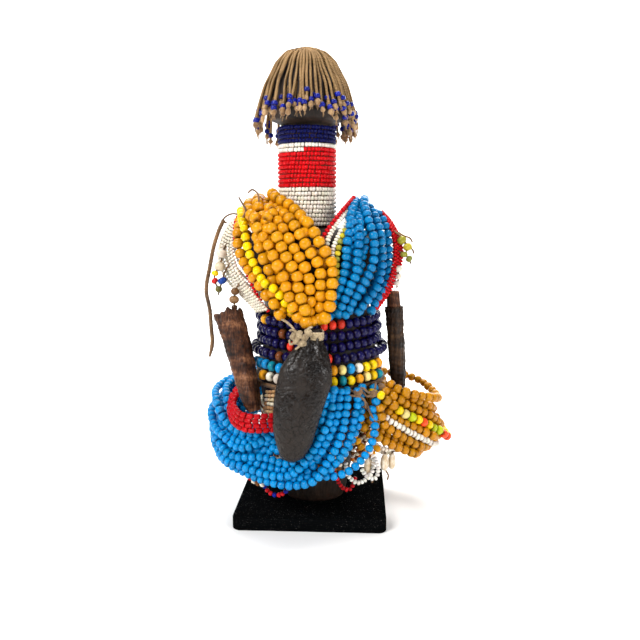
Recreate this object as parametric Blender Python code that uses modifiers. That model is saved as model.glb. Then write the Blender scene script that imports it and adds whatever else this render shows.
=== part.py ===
"""Beaded doll on a stand: a carved wooden figure with a fringed cord wig, bead collar, bandoliers,
belt, hip strands, two horns and a leather amulet. Metres, Z up, origin under the middle of the plinth."""
import math

import bmesh
import bpy
import numpy as np
from mathutils import Vector
from mathutils.bvhtree import BVHTree

MM = 0.001

# Clearances
FIT_GAP = 0.0003
BEAD_REST_GAP = 0.0012
BELT_REST_GAP = 0.0005
BUNDLE_REST_GAP = 0.0020
BUNDLE_END_GAP = 0.0036

# Plinth
PLINTH_WIDTH = 0.106
PLINTH_HEIGHT = 0.009
PLINTH_CORNER_RADIUS = 0.006
PLINTH_EDGE_BEVEL = 0.0010

# Carved figure, heights above the foot
FOOT_RADIUS = 0.0215
WAIST_HALF_WIDTH = 0.038
WAIST_HALF_DEPTH = 0.036
NECK_RADIUS = 0.0170
NECK_BASE = 0.1962
CHIN_CLEARANCE = 0.0047
HEAD_HEIGHT = 0.0445
HEAD_RADIUS = 0.0275
FIGURE_SIDES = 20
BODY_SQUARENESS = 2.2

# Bead sizes
YELLOW_BEAD = 0.0070
BLUE_BEAD = 0.0062
BELT_BEAD = 0.0066
NECK_BEAD = 0.0031
SEED_BEAD = 0.0026
RED_TUBE_BEAD = 0.0030

# Bead collar round the neck
NECK_ROW_PITCH = 0.00296
NECK_ROW_COUNTS = (
    ("neck_beads_white_lower", 9),
    ("neck_beads_red", 8),
    ("neck_beads_white_upper", 2),
    ("neck_beads_blue", 4),
)
NECK_STEPS = 12
CHIN_HEIGHT = NECK_BASE + NECK_ROW_PITCH * sum(count for _, count in NECK_ROW_COUNTS) + CHIN_CLEARANCE
HEAD_TOP = CHIN_HEIGHT + HEAD_HEIGHT

# Belt
BELT_TOP = 0.1352
BELT_ROW_PITCH = 0.0076
NAVY_ROW_COUNT = 4
MIXED_ROW_COUNT = 2

# Fibre cord tied round the hips just under the belt
TIE_DIAMETER = 0.0026
TIE_SIDES = 5
TIE_HEIGHT = (BELT_TOP - (NAVY_ROW_COUNT + MIXED_ROW_COUNT) * BELT_ROW_PITCH
              - TIE_DIAMETER / 2 - FIT_GAP)

# Wig
WIG_RADIUS = 0.0380
WIG_THICKNESS = 0.0060
WIG_RISE = 0.0060
WIG_RIB_COUNT = 16
WIG_HEM_DROP = 0.0090
WIG_HEM_TILT = 0.0120

# Horns, amulet and cord
LEFT_HORN_RADIUS = 0.0100
LEFT_HORN_WALL = 0.0024
LEFT_HORN_DEPTH = 0.0090
RIGHT_HORN_RADIUS = 0.0062
AMULET_HALF_WIDTH = 0.0186
AMULET_HALF_DEPTH = 0.0086
SIDE_CORD_DIAMETER = 0.0032


def clear_scene():
    for item in list(bpy.data.objects):
        bpy.data.objects.remove(item, do_unlink=True)


def make_material(name, colour, roughness, metallic=0.0):
    material = bpy.data.materials.new(name)
    material.use_nodes = True
    shader = material.node_tree.nodes["Principled BSDF"]
    shader.inputs["Base Color"].default_value = (*colour, 1.0)
    shader.inputs["Roughness"].default_value = roughness
    shader.inputs["Metallic"].default_value = metallic
    return material


clear_scene()
doll = bpy.data.collections.new("beaded_doll")
bpy.context.scene.collection.children.link(doll)
stand = bpy.data.objects.new("figure_stand_point", None)
stand.location = (0.0, 0.0, PLINTH_HEIGHT + FIT_GAP)
doll.objects.link(stand)

black_lacquer = make_material("black_lacquer", (0.012, 0.012, 0.014), 0.35)
dark_wood = make_material("dark_wood", (0.042, 0.032, 0.025), 0.55)
wig_cord = make_material("wig_cord", (0.33, 0.22, 0.11), 0.85)
yellow_glass = make_material("yellow_glass", (0.87, 0.42, 0.03), 0.30)
blue_glass = make_material("blue_glass", (0.01, 0.27, 0.72), 0.28)
navy_glass = make_material("navy_glass", (0.012, 0.010, 0.13), 0.25)
cobalt_glass = make_material("cobalt_glass", (0.010, 0.016, 0.32), 0.30)
red_glass = make_material("red_glass", (0.62, 0.010, 0.012), 0.30)
white_glass = make_material("white_glass", (0.83, 0.78, 0.69), 0.40)
brown_fibre = make_material("brown_fibre", (0.16, 0.085, 0.04), 0.9)
pale_fibre = make_material("pale_fibre", (0.62, 0.52, 0.36), 0.9)
horn_shell = make_material("horn_shell", (0.10, 0.038, 0.02), 0.40)
dark_horn = make_material("dark_horn", (0.045, 0.02, 0.011), 0.42)
amulet_leather = make_material("amulet_leather", (0.06, 0.042, 0.033), 0.42)
cowrie_shell = make_material("cowrie_shell", (0.72, 0.60, 0.44), 0.35)


def add_object(name, mesh, material, parent=stand):
    """Link a mesh as a named sub-part carrying one material."""
    mesh.materials.append(material)
    item = bpy.data.objects.new(name, mesh)
    item.parent = parent
    doll.objects.link(item)
    return item


def smooth_shade(mesh, angle=math.radians(50)):
    mesh.shade_smooth()
    mesh.set_sharp_from_angle(angle=angle)


def loft(name, rings, material, closed=False, parent=stand):
    """Join rings of equal point counts, side by side; the ends are capped unless the loft is closed."""
    builder = bmesh.new()
    rows = [[builder.verts.new(point) for point in ring] for ring in rings]
    pairs = list(zip(rows, rows[1:]))
    if closed:
        pairs.append((rows[-1], rows[0]))
    for lower, upper in pairs:
        for index in range(len(lower)):
            after = (index + 1) % len(lower)
            builder.faces.new((lower[index], lower[after], upper[after], upper[index]))
    if not closed:
        builder.faces.new(list(reversed(rows[0])))
        builder.faces.new(rows[-1])
    bmesh.ops.recalc_face_normals(builder, faces=builder.faces)
    mesh = bpy.data.meshes.new(name)
    builder.to_mesh(mesh)
    builder.free()
    smooth_shade(mesh)
    return add_object(name, mesh, material, parent)


def smooth_curve(points, count):
    """Read count points, evenly spaced by length, from a smooth curve through the given points."""
    points = np.asarray(points, dtype=float)
    padded = np.vstack([2 * points[0] - points[1], points, 2 * points[-1] - points[-2]])
    fine = []
    for index in range(1, len(padded) - 2):
        before, start, end, after = padded[index - 1:index + 3]
        for share in np.linspace(0.0, 1.0, 12, endpoint=False):
            fine.append(0.5 * (2 * start + (end - before) * share
                               + (2 * before - 5 * start + 4 * end - after) * share ** 2
                               + (3 * start - before - 3 * end + after) * share ** 3))
    fine.append(points[-1])
    fine = np.array(fine)
    lengths = np.concatenate([[0.0], np.cumsum(np.linalg.norm(np.diff(fine, axis=0), axis=1))])
    wanted = np.linspace(0.0, lengths[-1], count)
    return np.stack([np.interp(wanted, lengths, fine[:, axis]) for axis in range(fine.shape[1])], axis=1)


# The plinth: a square black board with rounded corners

def make_plinth():
    builder = bmesh.new()
    bmesh.ops.create_cube(builder, size=1.0)
    bmesh.ops.scale(builder, vec=(PLINTH_WIDTH, PLINTH_WIDTH, PLINTH_HEIGHT), verts=builder.verts)
    bmesh.ops.translate(builder, vec=(0.0, 0.0, PLINTH_HEIGHT / 2), verts=builder.verts)
    uprights = [edge for edge in builder.edges
                if abs(edge.verts[0].co.z - edge.verts[1].co.z) > PLINTH_HEIGHT / 2]
    bmesh.ops.bevel(builder, geom=uprights, offset=PLINTH_CORNER_RADIUS, segments=5,
                    profile=0.5, affect="EDGES")
    rims = [edge for edge in builder.edges
            if abs(edge.verts[0].co.z - edge.verts[1].co.z) < FIT_GAP
            and (edge.verts[0].co.z > PLINTH_HEIGHT / 2)]
    bmesh.ops.bevel(builder, geom=rims, offset=PLINTH_EDGE_BEVEL, segments=1, profile=0.5,
                    affect="EDGES")
    mesh = bpy.data.meshes.new("plinth")
    builder.to_mesh(mesh)
    builder.free()
    smooth_shade(mesh)
    add_object("plinth", mesh, black_lacquer, parent=None)


make_plinth()

# The carved figure: height, sideways lean of the axis
AXIS_LEAN = ((0, 1.0), (51, 3.0), (96, 4.5), (126, 4.5), (181, -1.5), (196, -4.0), (269, -4.0),
             (291, -5.0), (316, -5.0))
# height above the foot, half width, half depth, all in millimetres
BODY_SECTIONS = (
    (5, 23.5, 23.5),
    (21, 26, 26),
    (36, 30, 30),
    (56, 36, 34),
    (76, 41, 37),
    (96, 46, 40),
    (109, 42, 38),
    (156, 42, 36.5),
    (170, 48, 36),
    (181, 49, 34),
    (187, 47.5, 31.5),
    (191, 43, 27.5),
    (194.5, 34, 22.5),
)
WAIST_HEIGHTS = (0.116, 0.143)
# share of the head's height above the chin, share of the head's radius
HEAD_SECTIONS = ((0.0, 0.90), (0.10, 0.97), (0.32, 1.0), (0.55, 0.93), (0.76, 0.74), (0.92, 0.44),
                 (1.0, 0.12))


# heights of the belt top and the neck base that the chest's points are given for
CHEST_BOTTOM = 0.1352
CHEST_TOP = 0.1962


def chest_height(height):
    """Move a height given for the chest along with the belt top and the neck base."""
    share = (height - CHEST_BOTTOM) / (CHEST_TOP - CHEST_BOTTOM)
    return BELT_TOP + share * (NECK_BASE - BELT_TOP)


def body_height(height):
    return chest_height(height) if height > CHEST_BOTTOM else height


def axis_x(height):
    heights, leans = zip(*AXIS_LEAN)
    return float(np.interp(height / MM, heights, leans)) * MM


def figure_sections():
    """List height, half width and half depth from the foot to the crown."""
    sections = [(0.0, FOOT_RADIUS, FOOT_RADIUS)]
    sections += [(body_height(height * MM), width * MM, depth * MM)
                 for height, width, depth in BODY_SECTIONS]
    sections += [(body_height(height), WAIST_HALF_WIDTH, WAIST_HALF_DEPTH)
                 for height in WAIST_HEIGHTS]
    sections += [(height, NECK_RADIUS, NECK_RADIUS) for height in (NECK_BASE, CHIN_HEIGHT - FIT_GAP)]
    head_height = HEAD_TOP - CHIN_HEIGHT
    sections += [(CHIN_HEIGHT + share * head_height, size * HEAD_RADIUS, size * HEAD_RADIUS)
                 for share, size in HEAD_SECTIONS]
    return sorted(sections)


SECTIONS = figure_sections()


def figure_radius(angle, height):
    """Distance from the axis to the wood at an angle from the front, a rounded ellipse in plan."""
    heights, widths, depths = zip(*SECTIONS)
    half_width = np.interp(height, heights, widths)
    half_depth = np.interp(height, heights, depths)
    power = BODY_SQUARENESS if height < NECK_BASE - FIT_GAP else 2.0
    side = abs(math.sin(angle) / half_width) ** power
    front = abs(math.cos(angle) / half_depth) ** power
    return (side + front) ** (-1.0 / power)


def around(angle, radius, height):
    """Point at an angle from the front, turned towards +X, round the figure's leaning axis."""
    return Vector((axis_x(height) + radius * math.sin(angle), -radius * math.cos(angle), height))


def figure_rings(collar=0.0):
    """Rings from foot to crown; a collar thickens the neck by the beads wound on it."""
    angles = [2 * math.pi * step / FIGURE_SIDES for step in range(FIGURE_SIDES)]
    rings = []
    for height, _, _ in SECTIONS:
        extra = collar if NECK_BASE <= height < CHIN_HEIGHT else 0.0
        rings.append([around(angle, figure_radius(angle, height) + extra, height) for angle in angles])
    return rings


def dressed_body():
    """Surface that the shoulder strands lie on: the wood, with the collar of beads round its neck."""
    rings = figure_rings(NECK_BEAD + 3 * FIT_GAP)
    points = [point for ring in rings for point in ring]
    faces = []
    for start in range(0, FIGURE_SIDES * (len(rings) - 1), FIGURE_SIDES):
        for side in range(FIGURE_SIDES):
            after = (side + 1) % FIGURE_SIDES
            faces.append((start + side, start + after, start + FIGURE_SIDES + after,
                          start + FIGURE_SIDES + side))
    return BVHTree.FromPolygons(points, faces)


loft("wooden_figure", figure_rings(), dark_wood)
body_tree = dressed_body()

# Rows of neck beads, wound round the neck, each colour a ribbed sleeve


def make_neck_sleeve(name, bottom, rows, material):
    inner = (NECK_RADIUS + FIT_GAP) / math.cos(math.pi / NECK_STEPS)
    outer = inner + NECK_BEAD
    groove = outer - 0.3 * NECK_BEAD
    top = bottom + rows * NECK_ROW_PITCH - FIT_GAP
    profile = [(inner, top), (groove, top)]
    for row in reversed(range(rows)):
        profile.append((outer, bottom + (row + 0.5) * NECK_ROW_PITCH))
        if row:
            profile.append((groove, bottom + row * NECK_ROW_PITCH))
    profile += [(groove, bottom), (inner, bottom)]
    mesh = bpy.data.meshes.new(name)
    edges = [(index, (index + 1) % len(profile)) for index in range(len(profile))]
    mesh.from_pydata([(radius, 0.0, height) for radius, height in profile], edges, [])
    item = add_object(name, mesh, material)
    item.location.x = axis_x(NECK_BASE)
    turn = item.modifiers.new("turn", "SCREW")
    turn.steps = NECK_STEPS
    turn.render_steps = NECK_STEPS
    turn.use_merge_vertices = True
    turn.merge_threshold = 0.00005
    turn.use_smooth_shade = True


def make_neck_beads():
    colours = (white_glass, red_glass, white_glass, cobalt_glass)
    bottom = NECK_BASE + 2 * FIT_GAP
    for (name, rows), material in zip(NECK_ROW_COUNTS, colours):
        make_neck_sleeve(name, bottom, rows, material)
        bottom += rows * NECK_ROW_PITCH


make_neck_beads()

# The wig: cords hanging from the crown, a ribbed dome with a toothed hem
# share of the drop from crown to hem, share of the wig's radius
WIG_PROFILE = ((0.0, 0.20), (0.14, 0.54), (0.38, 0.79), (0.66, 0.96), (1.0, 1.0))
WIG_RIB_DEPTH = 0.0012
WIG_TOOTH = 0.0022
SCALP_GAP = 0.0010


def wig_hem(angle):
    return CHIN_HEIGHT - WIG_HEM_DROP + WIG_HEM_TILT * math.cos(angle)


def wig_outer_ring(share, size):
    ring = []
    top = HEAD_TOP + WIG_RISE
    for step in range(2 * WIG_RIB_COUNT):
        angle = math.pi * step / WIG_RIB_COUNT
        groove = 1 - step % 2
        radius = (WIG_RADIUS - groove * WIG_RIB_DEPTH) * size
        tooth = WIG_TOOTH * groove if share == 1.0 else 0.0
        height = top + (wig_hem(angle) - top) * share + tooth
        ring.append(Vector((axis_x(HEAD_TOP) + radius * math.sin(angle),
                            -radius * math.cos(angle), height)))
    return ring


def make_wig():
    rings = [wig_outer_ring(share, size) for share, size in WIG_PROFILE]
    shrink = (WIG_RADIUS - WIG_THICKNESS) / WIG_RADIUS
    lean = Vector((axis_x(HEAD_TOP), 0.0, 0.0))
    hem = [lean + Vector(((point.x - lean.x) * shrink, point.y * shrink, point.z + WIG_TOOTH))
           for point in rings[-1]]
    rings.append(hem)
    for share, size in HEAD_SECTIONS[2:]:
        height = CHIN_HEIGHT + share * (HEAD_TOP - CHIN_HEIGHT) + SCALP_GAP
        radius = size * HEAD_RADIUS + SCALP_GAP
        rings.append([around(math.pi * step / WIG_RIB_COUNT, radius, height)
                      for step in range(2 * WIG_RIB_COUNT)])
    loft("wig_of_cords", rings, wig_cord)


make_wig()

# The belt: rows of beads wound round the waist, following the wood


WIDEST_SAMPLES = (0.0, 0.25, 0.5, 0.75, 1.0)


def wrapped_rows(name, top, rows, material, first_angle=-180, last_angle=180, steps=FIGURE_SIDES):
    """Lay a ribbed strip of bead rows on the wood, all round or over an arc.

    An arc's inner face is straight up and down, clear of the wood's widest place behind it.
    """
    profile = [(0.0, 0.0), (0.72, 0.0)]
    for row in range(rows):
        profile.append((1.0, row + 0.5))
        if row < rows - 1:
            profile.append((0.72, row + 1.0))
    profile += [(0.72, rows), (0.0, rows)]
    full = last_angle - first_angle >= 360
    rest = BELT_REST_GAP if full else BEAD_REST_GAP
    rings = []
    for step in range(steps if full else steps + 1):
        angle = math.radians(first_angle + (last_angle - first_angle) * step / steps)
        widest = max(figure_radius(angle, top - share * rows * BELT_ROW_PITCH)
                     for share in WIDEST_SAMPLES)
        ring = []
        for lift, row in profile:
            height = top - row * BELT_ROW_PITCH + (FIT_GAP if row == rows else 0.0)
            inner_face = lift == 0.0 and not full
            wood = (widest if inner_face else figure_radius(angle, height)) + rest
            ring.append(around(angle, wood + lift * BELT_BEAD, height))
        rings.append(ring)
    return loft(name, rings, material, closed=full)


def make_belt():
    wrapped_rows("belt_navy_beads", BELT_TOP, NAVY_ROW_COUNT, navy_glass)
    below = BELT_TOP - NAVY_ROW_COUNT * BELT_ROW_PITCH
    wrapped_rows("belt_turquoise_row", below, 1, blue_glass, -66, -14, 6)
    wrapped_rows("belt_yellow_rows", below, MIXED_ROW_COUNT, yellow_glass, -12, 64, 9)
    wrapped_rows("belt_white_row", below - BELT_ROW_PITCH, 1, white_glass, -62, -14, 6)


make_belt()

# Bundles of strands laid over the shoulders: guide points in millimetres from the front waist to the
# top of the shoulder, where a height of 0 is the belt
CORE_HEIGHT = 0.172
CORE_SPREAD = 0.45


def on_wood(point, lift):
    """Drop a point to the wood along a ray from the figure's core, then lift it off by a distance."""
    point = Vector(point)
    core_height = min(point.z, chest_height(CORE_HEIGHT))
    middle = axis_x(core_height)
    spread = CORE_SPREAD if point.z > chest_height(CORE_HEIGHT) else 0.0
    core = Vector((middle + spread * (point.x - middle), spread * point.y, core_height))
    direction = (point - core).normalized()
    hit, _, _, _ = body_tree.ray_cast(core, direction)
    return hit + direction * lift


def rest_height(height, low, high, rise):
    """Air under a bundle: it rises off the wood by a set amount between two heights."""
    low, high = chest_height(low), chest_height(high)
    share = min(1.0, max(0.0, (height - low) / (high - low)))
    return BUNDLE_REST_GAP + rise * share * share * (3 - 2 * share)


def front_and_back(front_points):
    """Mirror a front run to the back and join the two over the shoulder."""
    front = [(x * MM, y * MM, chest_height(z * MM)) for x, y, z in front_points]
    front[0] = (front[0][0], front[0][1], BELT_TOP + BUNDLE_END_GAP)
    back = [(x, -y, z) for x, y, z in reversed(front) if y < -0.5 * MM]
    return front + back


def strand_rows(guides, stations, count):
    """Spread count strands evenly between guide curves; gives stations rows of count points."""
    curves = np.array([smooth_curve(guide, stations) for guide in guides])
    places = np.linspace(0.0, len(guides) - 1, count)
    lower = np.clip(places.astype(int), 0, len(guides) - 2)
    share = (places - lower)[:, None, None]
    mixed = curves[lower] * (1 - share) + curves[lower + 1] * share
    return mixed.transpose(1, 0, 2)


def laid_bundle(name, runs, strands, bead, depth, stations, material, rise):
    """A ribbed band of strands over the shoulder, one ridge to a strand, thicker in its middle."""
    rings = []
    across = 2 * strands + 1
    for row in strand_rows([front_and_back(run) for run in runs], stations, across):
        ring = []
        rests = [rest_height(point[2], *rise) for point in row]
        for index, point in enumerate(row):
            share = index / (across - 1)
            height = bead + (depth - bead) * math.sin(math.pi * share)
            valley = 0.0 if index % 2 else 0.28 * bead
            ring.append(on_wood(point, rests[index] + height - valley))
        for index in reversed(range(0, across, 2)):
            ring.append(on_wood(row[index], rests[index]))
        rings.append(ring)
    return loft(name, rings, material)


YELLOW_BANDOLIER = (
    ((-27, -36, 0), (-34, -32, 152), (-42, -26, 165), (-47, -21, 178), (-49, -14, 190),
     (-47, -7, 199), (-44, 0, 203)),
    ((-3, -41, 0), (-9, -41, 155), (-17, -39, 170), (-26, -36, 184), (-34, -28, 196),
     (-38, -12, 206), (-38, 0, 210)),
    ((18, -41, 0), (17, -41, 156), (13, -41, 174), (5, -39, 188), (-6, -33, 201),
     (-20, -24, 208), (-28, -12, 212), (-31, 0, 212)),
)
BLUE_BANDOLIER = (
    ((23, -40, 0), (24, -42, 156), (24, -41, 170), (24, -38, 184), (25, -32, 197),
     (23, -16, 209), (21, 0, 213)),
    ((33, -34, 0), (36, -32, 156), (38, -30, 170), (38, -27, 184), (36, -20, 198),
     (31, -9, 207), (29, 0, 210)),
    ((42, -26, 0), (47, -16, 155), (49, -10, 170), (49, -9, 184), (46, -8, 196),
     (41, -4, 203), (38, 0, 206)),
)
WHITE_SEED_BANDOLIER = (
    ((-35, -28, 0), (-42, -20, 148), (-50, -13, 160), (-53, -9, 172), (-53, -6, 184),
     (-51, -3, 194), (-49, 0, 198)),
    ((-38, -22, 0), (-46, -13, 148), (-54, -7, 160), (-58, -4, 172), (-58, -2, 182),
     (-55, -1, 189), (-54, 0, 192)),
)
RED_SEED_BANDOLIER = (
    ((47, -18, 0), (51, -9, 152), (55, -4, 165), (56, -2, 178), (54, -1, 188), (52, 0, 193)),
    ((48, -13, 0), (53, -5, 152), (57, -2, 165), (58, -1, 178), (56, -0.6, 184), (54, 0, 187)),
)
YELLOW_DEPTH = 0.0130
BLUE_DEPTH = 0.0120
WHITE_SEED_DEPTH = 0.0085
RED_SEED_DEPTH = 0.0070
# heights between which a bundle rises off the wood, and by how much
SHOULDER_RISE = (0.176, 0.204, 0.0110)
SIDE_RISE = (0.150, 0.178, 0.0060)


def make_bandoliers():
    laid_bundle("yellow_bandolier", YELLOW_BANDOLIER, 7, YELLOW_BEAD, YELLOW_DEPTH, 16,
                yellow_glass, SHOULDER_RISE)
    laid_bundle("blue_bandolier", BLUE_BANDOLIER, 5, BLUE_BEAD, BLUE_DEPTH, 17,
                blue_glass, SHOULDER_RISE)
    laid_bundle("white_seed_bandolier", WHITE_SEED_BANDOLIER, 4, SEED_BEAD, WHITE_SEED_DEPTH, 12,
                white_glass, SIDE_RISE)
    laid_bundle("red_seed_bandolier", RED_SEED_BANDOLIER, 2, SEED_BEAD, RED_SEED_DEPTH, 11,
                red_glass, SIDE_RISE)


make_bandoliers()

# Strands that hang free round the hips: guide points are degrees from the front, radius, drop below
# the cord tied round the hips


def hanging_points(rows):
    return [tuple(around(math.radians(angle), radius * MM, TIE_HEIGHT - drop * MM))
            for angle, radius, drop in rows]


def free_bundle(name, guides, strands, bead, stations, material, plies=1.0):
    """A ribbed sheet of strands hanging free, a bead thick for each ply."""
    curves = [hanging_points(guide) for guide in guides]
    rows = strand_rows(curves, stations, 2 * strands - 1)
    along = np.gradient(rows, axis=0)
    across = np.gradient(rows, axis=1)
    normals = np.cross(along, across)
    normals /= np.linalg.norm(normals, axis=2, keepdims=True)
    edges = across / np.linalg.norm(across, axis=2, keepdims=True)
    half = 0.5 * bead * plies
    rings = []
    for row, normal, edge in zip(rows, normals, edges):
        ring = [row[0] - edge[0] * bead / 2]
        for index, point in enumerate(row):
            ring.append(point + normal[index] * (half - (0.3 * bead if index % 2 else 0.0)))
        ring.append(row[-1] + edge[-1] * bead / 2)
        for index in reversed(range(0, len(row), 2)):
            ring.append(row[index] - normal[index] * half)
        rings.append(ring)
    return loft(name, rings, material)


BLUE_HIP_STRANDS = (
    ((12, 49, 4), (3, 50, 13.8), (-12, 51, 27.8), (-32, 61, 32.8), (-52, 69, 30.8), (-72, 75, 23.8),
     (-92, 75, 15.8), (-115, 66, 7.8), (-140, 52, 4)),
    ((30, 50, 4), (22, 55, 21.8), (8, 54, 41.8), (-16, 56, 49.8), (-42, 66, 45.8), (-68, 75, 37.8),
     (-92, 78, 28.8), (-120, 67, 17.8), (-152, 51, 4)),
    ((47, 51, 4), (40, 58, 21.8), (30, 62, 45.8), (10, 59, 61.8), (-16, 59, 62.8), (-42, 65, 56.8),
     (-68, 73, 47.8), (-92, 76, 40.8), (-125, 66, 28.8), (-164, 50, 4)),
)
YELLOW_HIP_STRANDS = (
    ((66, 47, 4), (75, 62, 7.8), (85, 80, 16.8), (93, 86, 19.8), (102, 80, 13.8), (114, 62, 5.8),
     (128, 47, 4)),
    ((61, 47, 7.8), (68, 66, 25.8), (78, 88, 40.8), (89, 98, 45.8), (100, 88, 40.8), (114, 66, 27.8),
     (134, 48, 7.8)),
    ((56, 46, 17.8), (60, 54, 33.8), (68, 68, 47.8), (82, 80, 53.8), (98, 78, 52.8), (116, 62, 39.8),
     (140, 50, 14.8)),
)
RED_HIP_STRANDS = (
    ((-66, 57, 2), (-58, 64, 7.8), (-46, 67.5, 12.8), (-31, 60, 12.3), (-16, 51.5, 8.8)),
    ((-66, 61, 4), (-58, 67, 15.8), (-46, 68.5, 21.8), (-31, 61, 21.8), (-16, 53, 18.8)),
)
BACK_HIP_STRANDS = (
    ((146, 47, 2), (150, 50, 15.8), (158, 52, 27.8), (170, 53, 31.8), (182, 52, 27.8), (190, 50, 15.8),
     (193, 47, 4)),
    ((146, 52, 11.8), (150, 56, 31.8), (158, 58, 49.8), (170, 59, 57.8), (182, 58, 51.8), (189, 54, 37.8),
     (192, 51, 17.8)),
)
FRONT_SEED_STRANDS = (
    ((-42, 44.5, 3), (-40, 46, 4), (-38, 48, 10.8), (-36, 49, 16.8)),
    ((-30, 44, 3), (-29, 45.5, 4), (-28, 47, 10.8), (-27, 48, 16.8)),
)


def tube(name, points, diameter, material, samples, sides=2):
    """A round wire along a smooth curve through the points, with filled ends."""
    curve = bpy.data.curves.new(name, "CURVE")
    curve.dimensions = "3D"
    curve.bevel_depth = diameter / 2
    curve.bevel_resolution = sides
    curve.use_fill_caps = True
    line = curve.splines.new("POLY")
    path = smooth_curve(points, samples)
    line.points.add(len(path) - 1)
    for knot, place in zip(line.points, path):
        knot.co = (*place, 1.0)
    curve.materials.append(material)
    item = bpy.data.objects.new(name, curve)
    item.parent = stand
    doll.objects.link(item)
    return item


BLUE_LOOP = ((57, 52, 4), (53, 57, 17.8), (50, 60, 37.8), (43, 62, 51.8), (30, 56, 61.8),
             (14, 50, 65.8))
WHITE_LOOP = ((30, 47, 45.8), (31, 50, 57.8), (38, 52, 65.8), (46, 53, 63.8), (50, 52, 51.8))
RED_LOOP = ((20, 44, 50.8), (22, 46, 64.8), (28, 48, 71.8), (33, 48, 70.8), (36, 46, 62.8))


def make_hip_strands():
    free_bundle("blue_hip_strands", BLUE_HIP_STRANDS, 7, BLUE_BEAD, 16, blue_glass)
    free_bundle("yellow_hip_strands", YELLOW_HIP_STRANDS, 7, YELLOW_BEAD, 14, yellow_glass)
    free_bundle("red_hip_strands", RED_HIP_STRANDS, 3, RED_TUBE_BEAD, 8, red_glass)
    free_bundle("back_hip_strands", BACK_HIP_STRANDS, 5, SEED_BEAD, 9, white_glass)
    free_bundle("front_seed_strands", FRONT_SEED_STRANDS, 4, SEED_BEAD, 4, pale_fibre)
    tube("blue_hip_loop", hanging_points(BLUE_LOOP), BLUE_BEAD, blue_glass, 14, 1)
    tube("white_hip_loop", hanging_points(WHITE_LOOP), SEED_BEAD, white_glass, 10, 1)
    tube("red_hip_loop", hanging_points(RED_LOOP), SEED_BEAD, red_glass, 9, 1)


make_hip_strands()

# Short inner strands that hang round the legs, a ribbed sleeve
FRINGE_RIB_COUNT = 14
# height, thickness off the wood in millimetres
FRINGE_PROFILE = ((70, 3.0), (48, 6.0), (24, 9.0))
FRINGE_HEM_WAVE = 0.004


def make_inner_fringe():
    rings = []
    wall = [(height * MM, thick * MM) for height, thick in FRINGE_PROFILE]
    inner = [(height, 0.0) for height, _ in reversed(wall)]
    for height, thick in wall + inner:
        ring = []
        low = height < wall[-1][0] + FIT_GAP
        for step in range(2 * FRINGE_RIB_COUNT):
            angle = math.pi * step / FRINGE_RIB_COUNT
            wave = FRINGE_HEM_WAVE * math.sin(5 * angle) if low else 0.0
            lift = thick * (1.0 if step % 2 else 0.7)
            radius = figure_radius(angle, height + wave) + BEAD_REST_GAP + lift
            ring.append(around(angle, radius, height + wave))
        rings.append(ring)
    loft("inner_fringe", rings, white_glass, closed=True)


make_inner_fringe()

# Fibre cord tied round the hips under the belt, over the strands' upper ends


def make_hip_tie():
    rings = []
    for step in range(FIGURE_SIDES):
        angle = 2 * math.pi * step / FIGURE_SIDES
        middle = figure_radius(angle, TIE_HEIGHT) + BELT_REST_GAP + TIE_DIAMETER / 2
        ring = []
        for corner in range(TIE_SIDES):
            turn = 2 * math.pi * corner / TIE_SIDES
            ring.append(around(angle, middle + TIE_DIAMETER / 2 * math.cos(turn),
                               TIE_HEIGHT + TIE_DIAMETER / 2 * math.sin(turn)))
        rings.append(ring)
    loft("hip_tie_cord", rings, brown_fibre, closed=True)


make_hip_tie()

# Horns: lofts along a slightly bent axis


def horn_rings(axis, sizes, sides, samples):
    """Rings square to a curved axis; sizes are radii at even shares of its length."""
    path = smooth_curve(np.array(axis) * MM, samples)
    ahead = np.gradient(path, axis=0)
    radii = np.interp(np.linspace(0, 1, samples), np.linspace(0, 1, len(sizes)), sizes)
    rings = []
    for centre, direction, radius in zip(path, ahead, radii):
        rings.append(flat_ring(centre, direction, radius, sides))
    return rings


def flat_ring(centre, direction, radius, sides):
    turn = Vector(direction).to_track_quat("Z", "Y")
    return [Vector(centre) + turn @ Vector((radius * math.cos(2 * math.pi * side / sides),
                                            radius * math.sin(2 * math.pi * side / sides), 0.0))
            for side in range(sides)]


LEFT_HORN_AXIS = ((-57.5, -25, 138), (-51.5, -29, 120), (-45.8, -34, 100), (-41.4, -39, 84),
                  (-37.5, -41.5, 72))
LEFT_HORN_TAPER = (1.0, 0.97, 0.90, 0.80, 0.70, 0.60, 0.30)
RIGHT_HORN_AXIS = ((58, -4, 140), (59.5, -4, 118), (61, -4, 98), (62.3, -4, 81))
RIGHT_HORN_TAPER = (1.0, 1.02, 1.05, 1.05, 1.0, 0.86)
STOPPER_AXIS = ((57.2, -4, 151.5), (58, -4, 140.4))
STOPPER_RADIUS = 0.0050
RIM_CHIPS = (0.0, 0.0016, -0.0012, 0.0008, -0.0020, 0.0014, 0.0, -0.0016, 0.0018, -0.0006, 0.0010,
             -0.0014)


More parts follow.
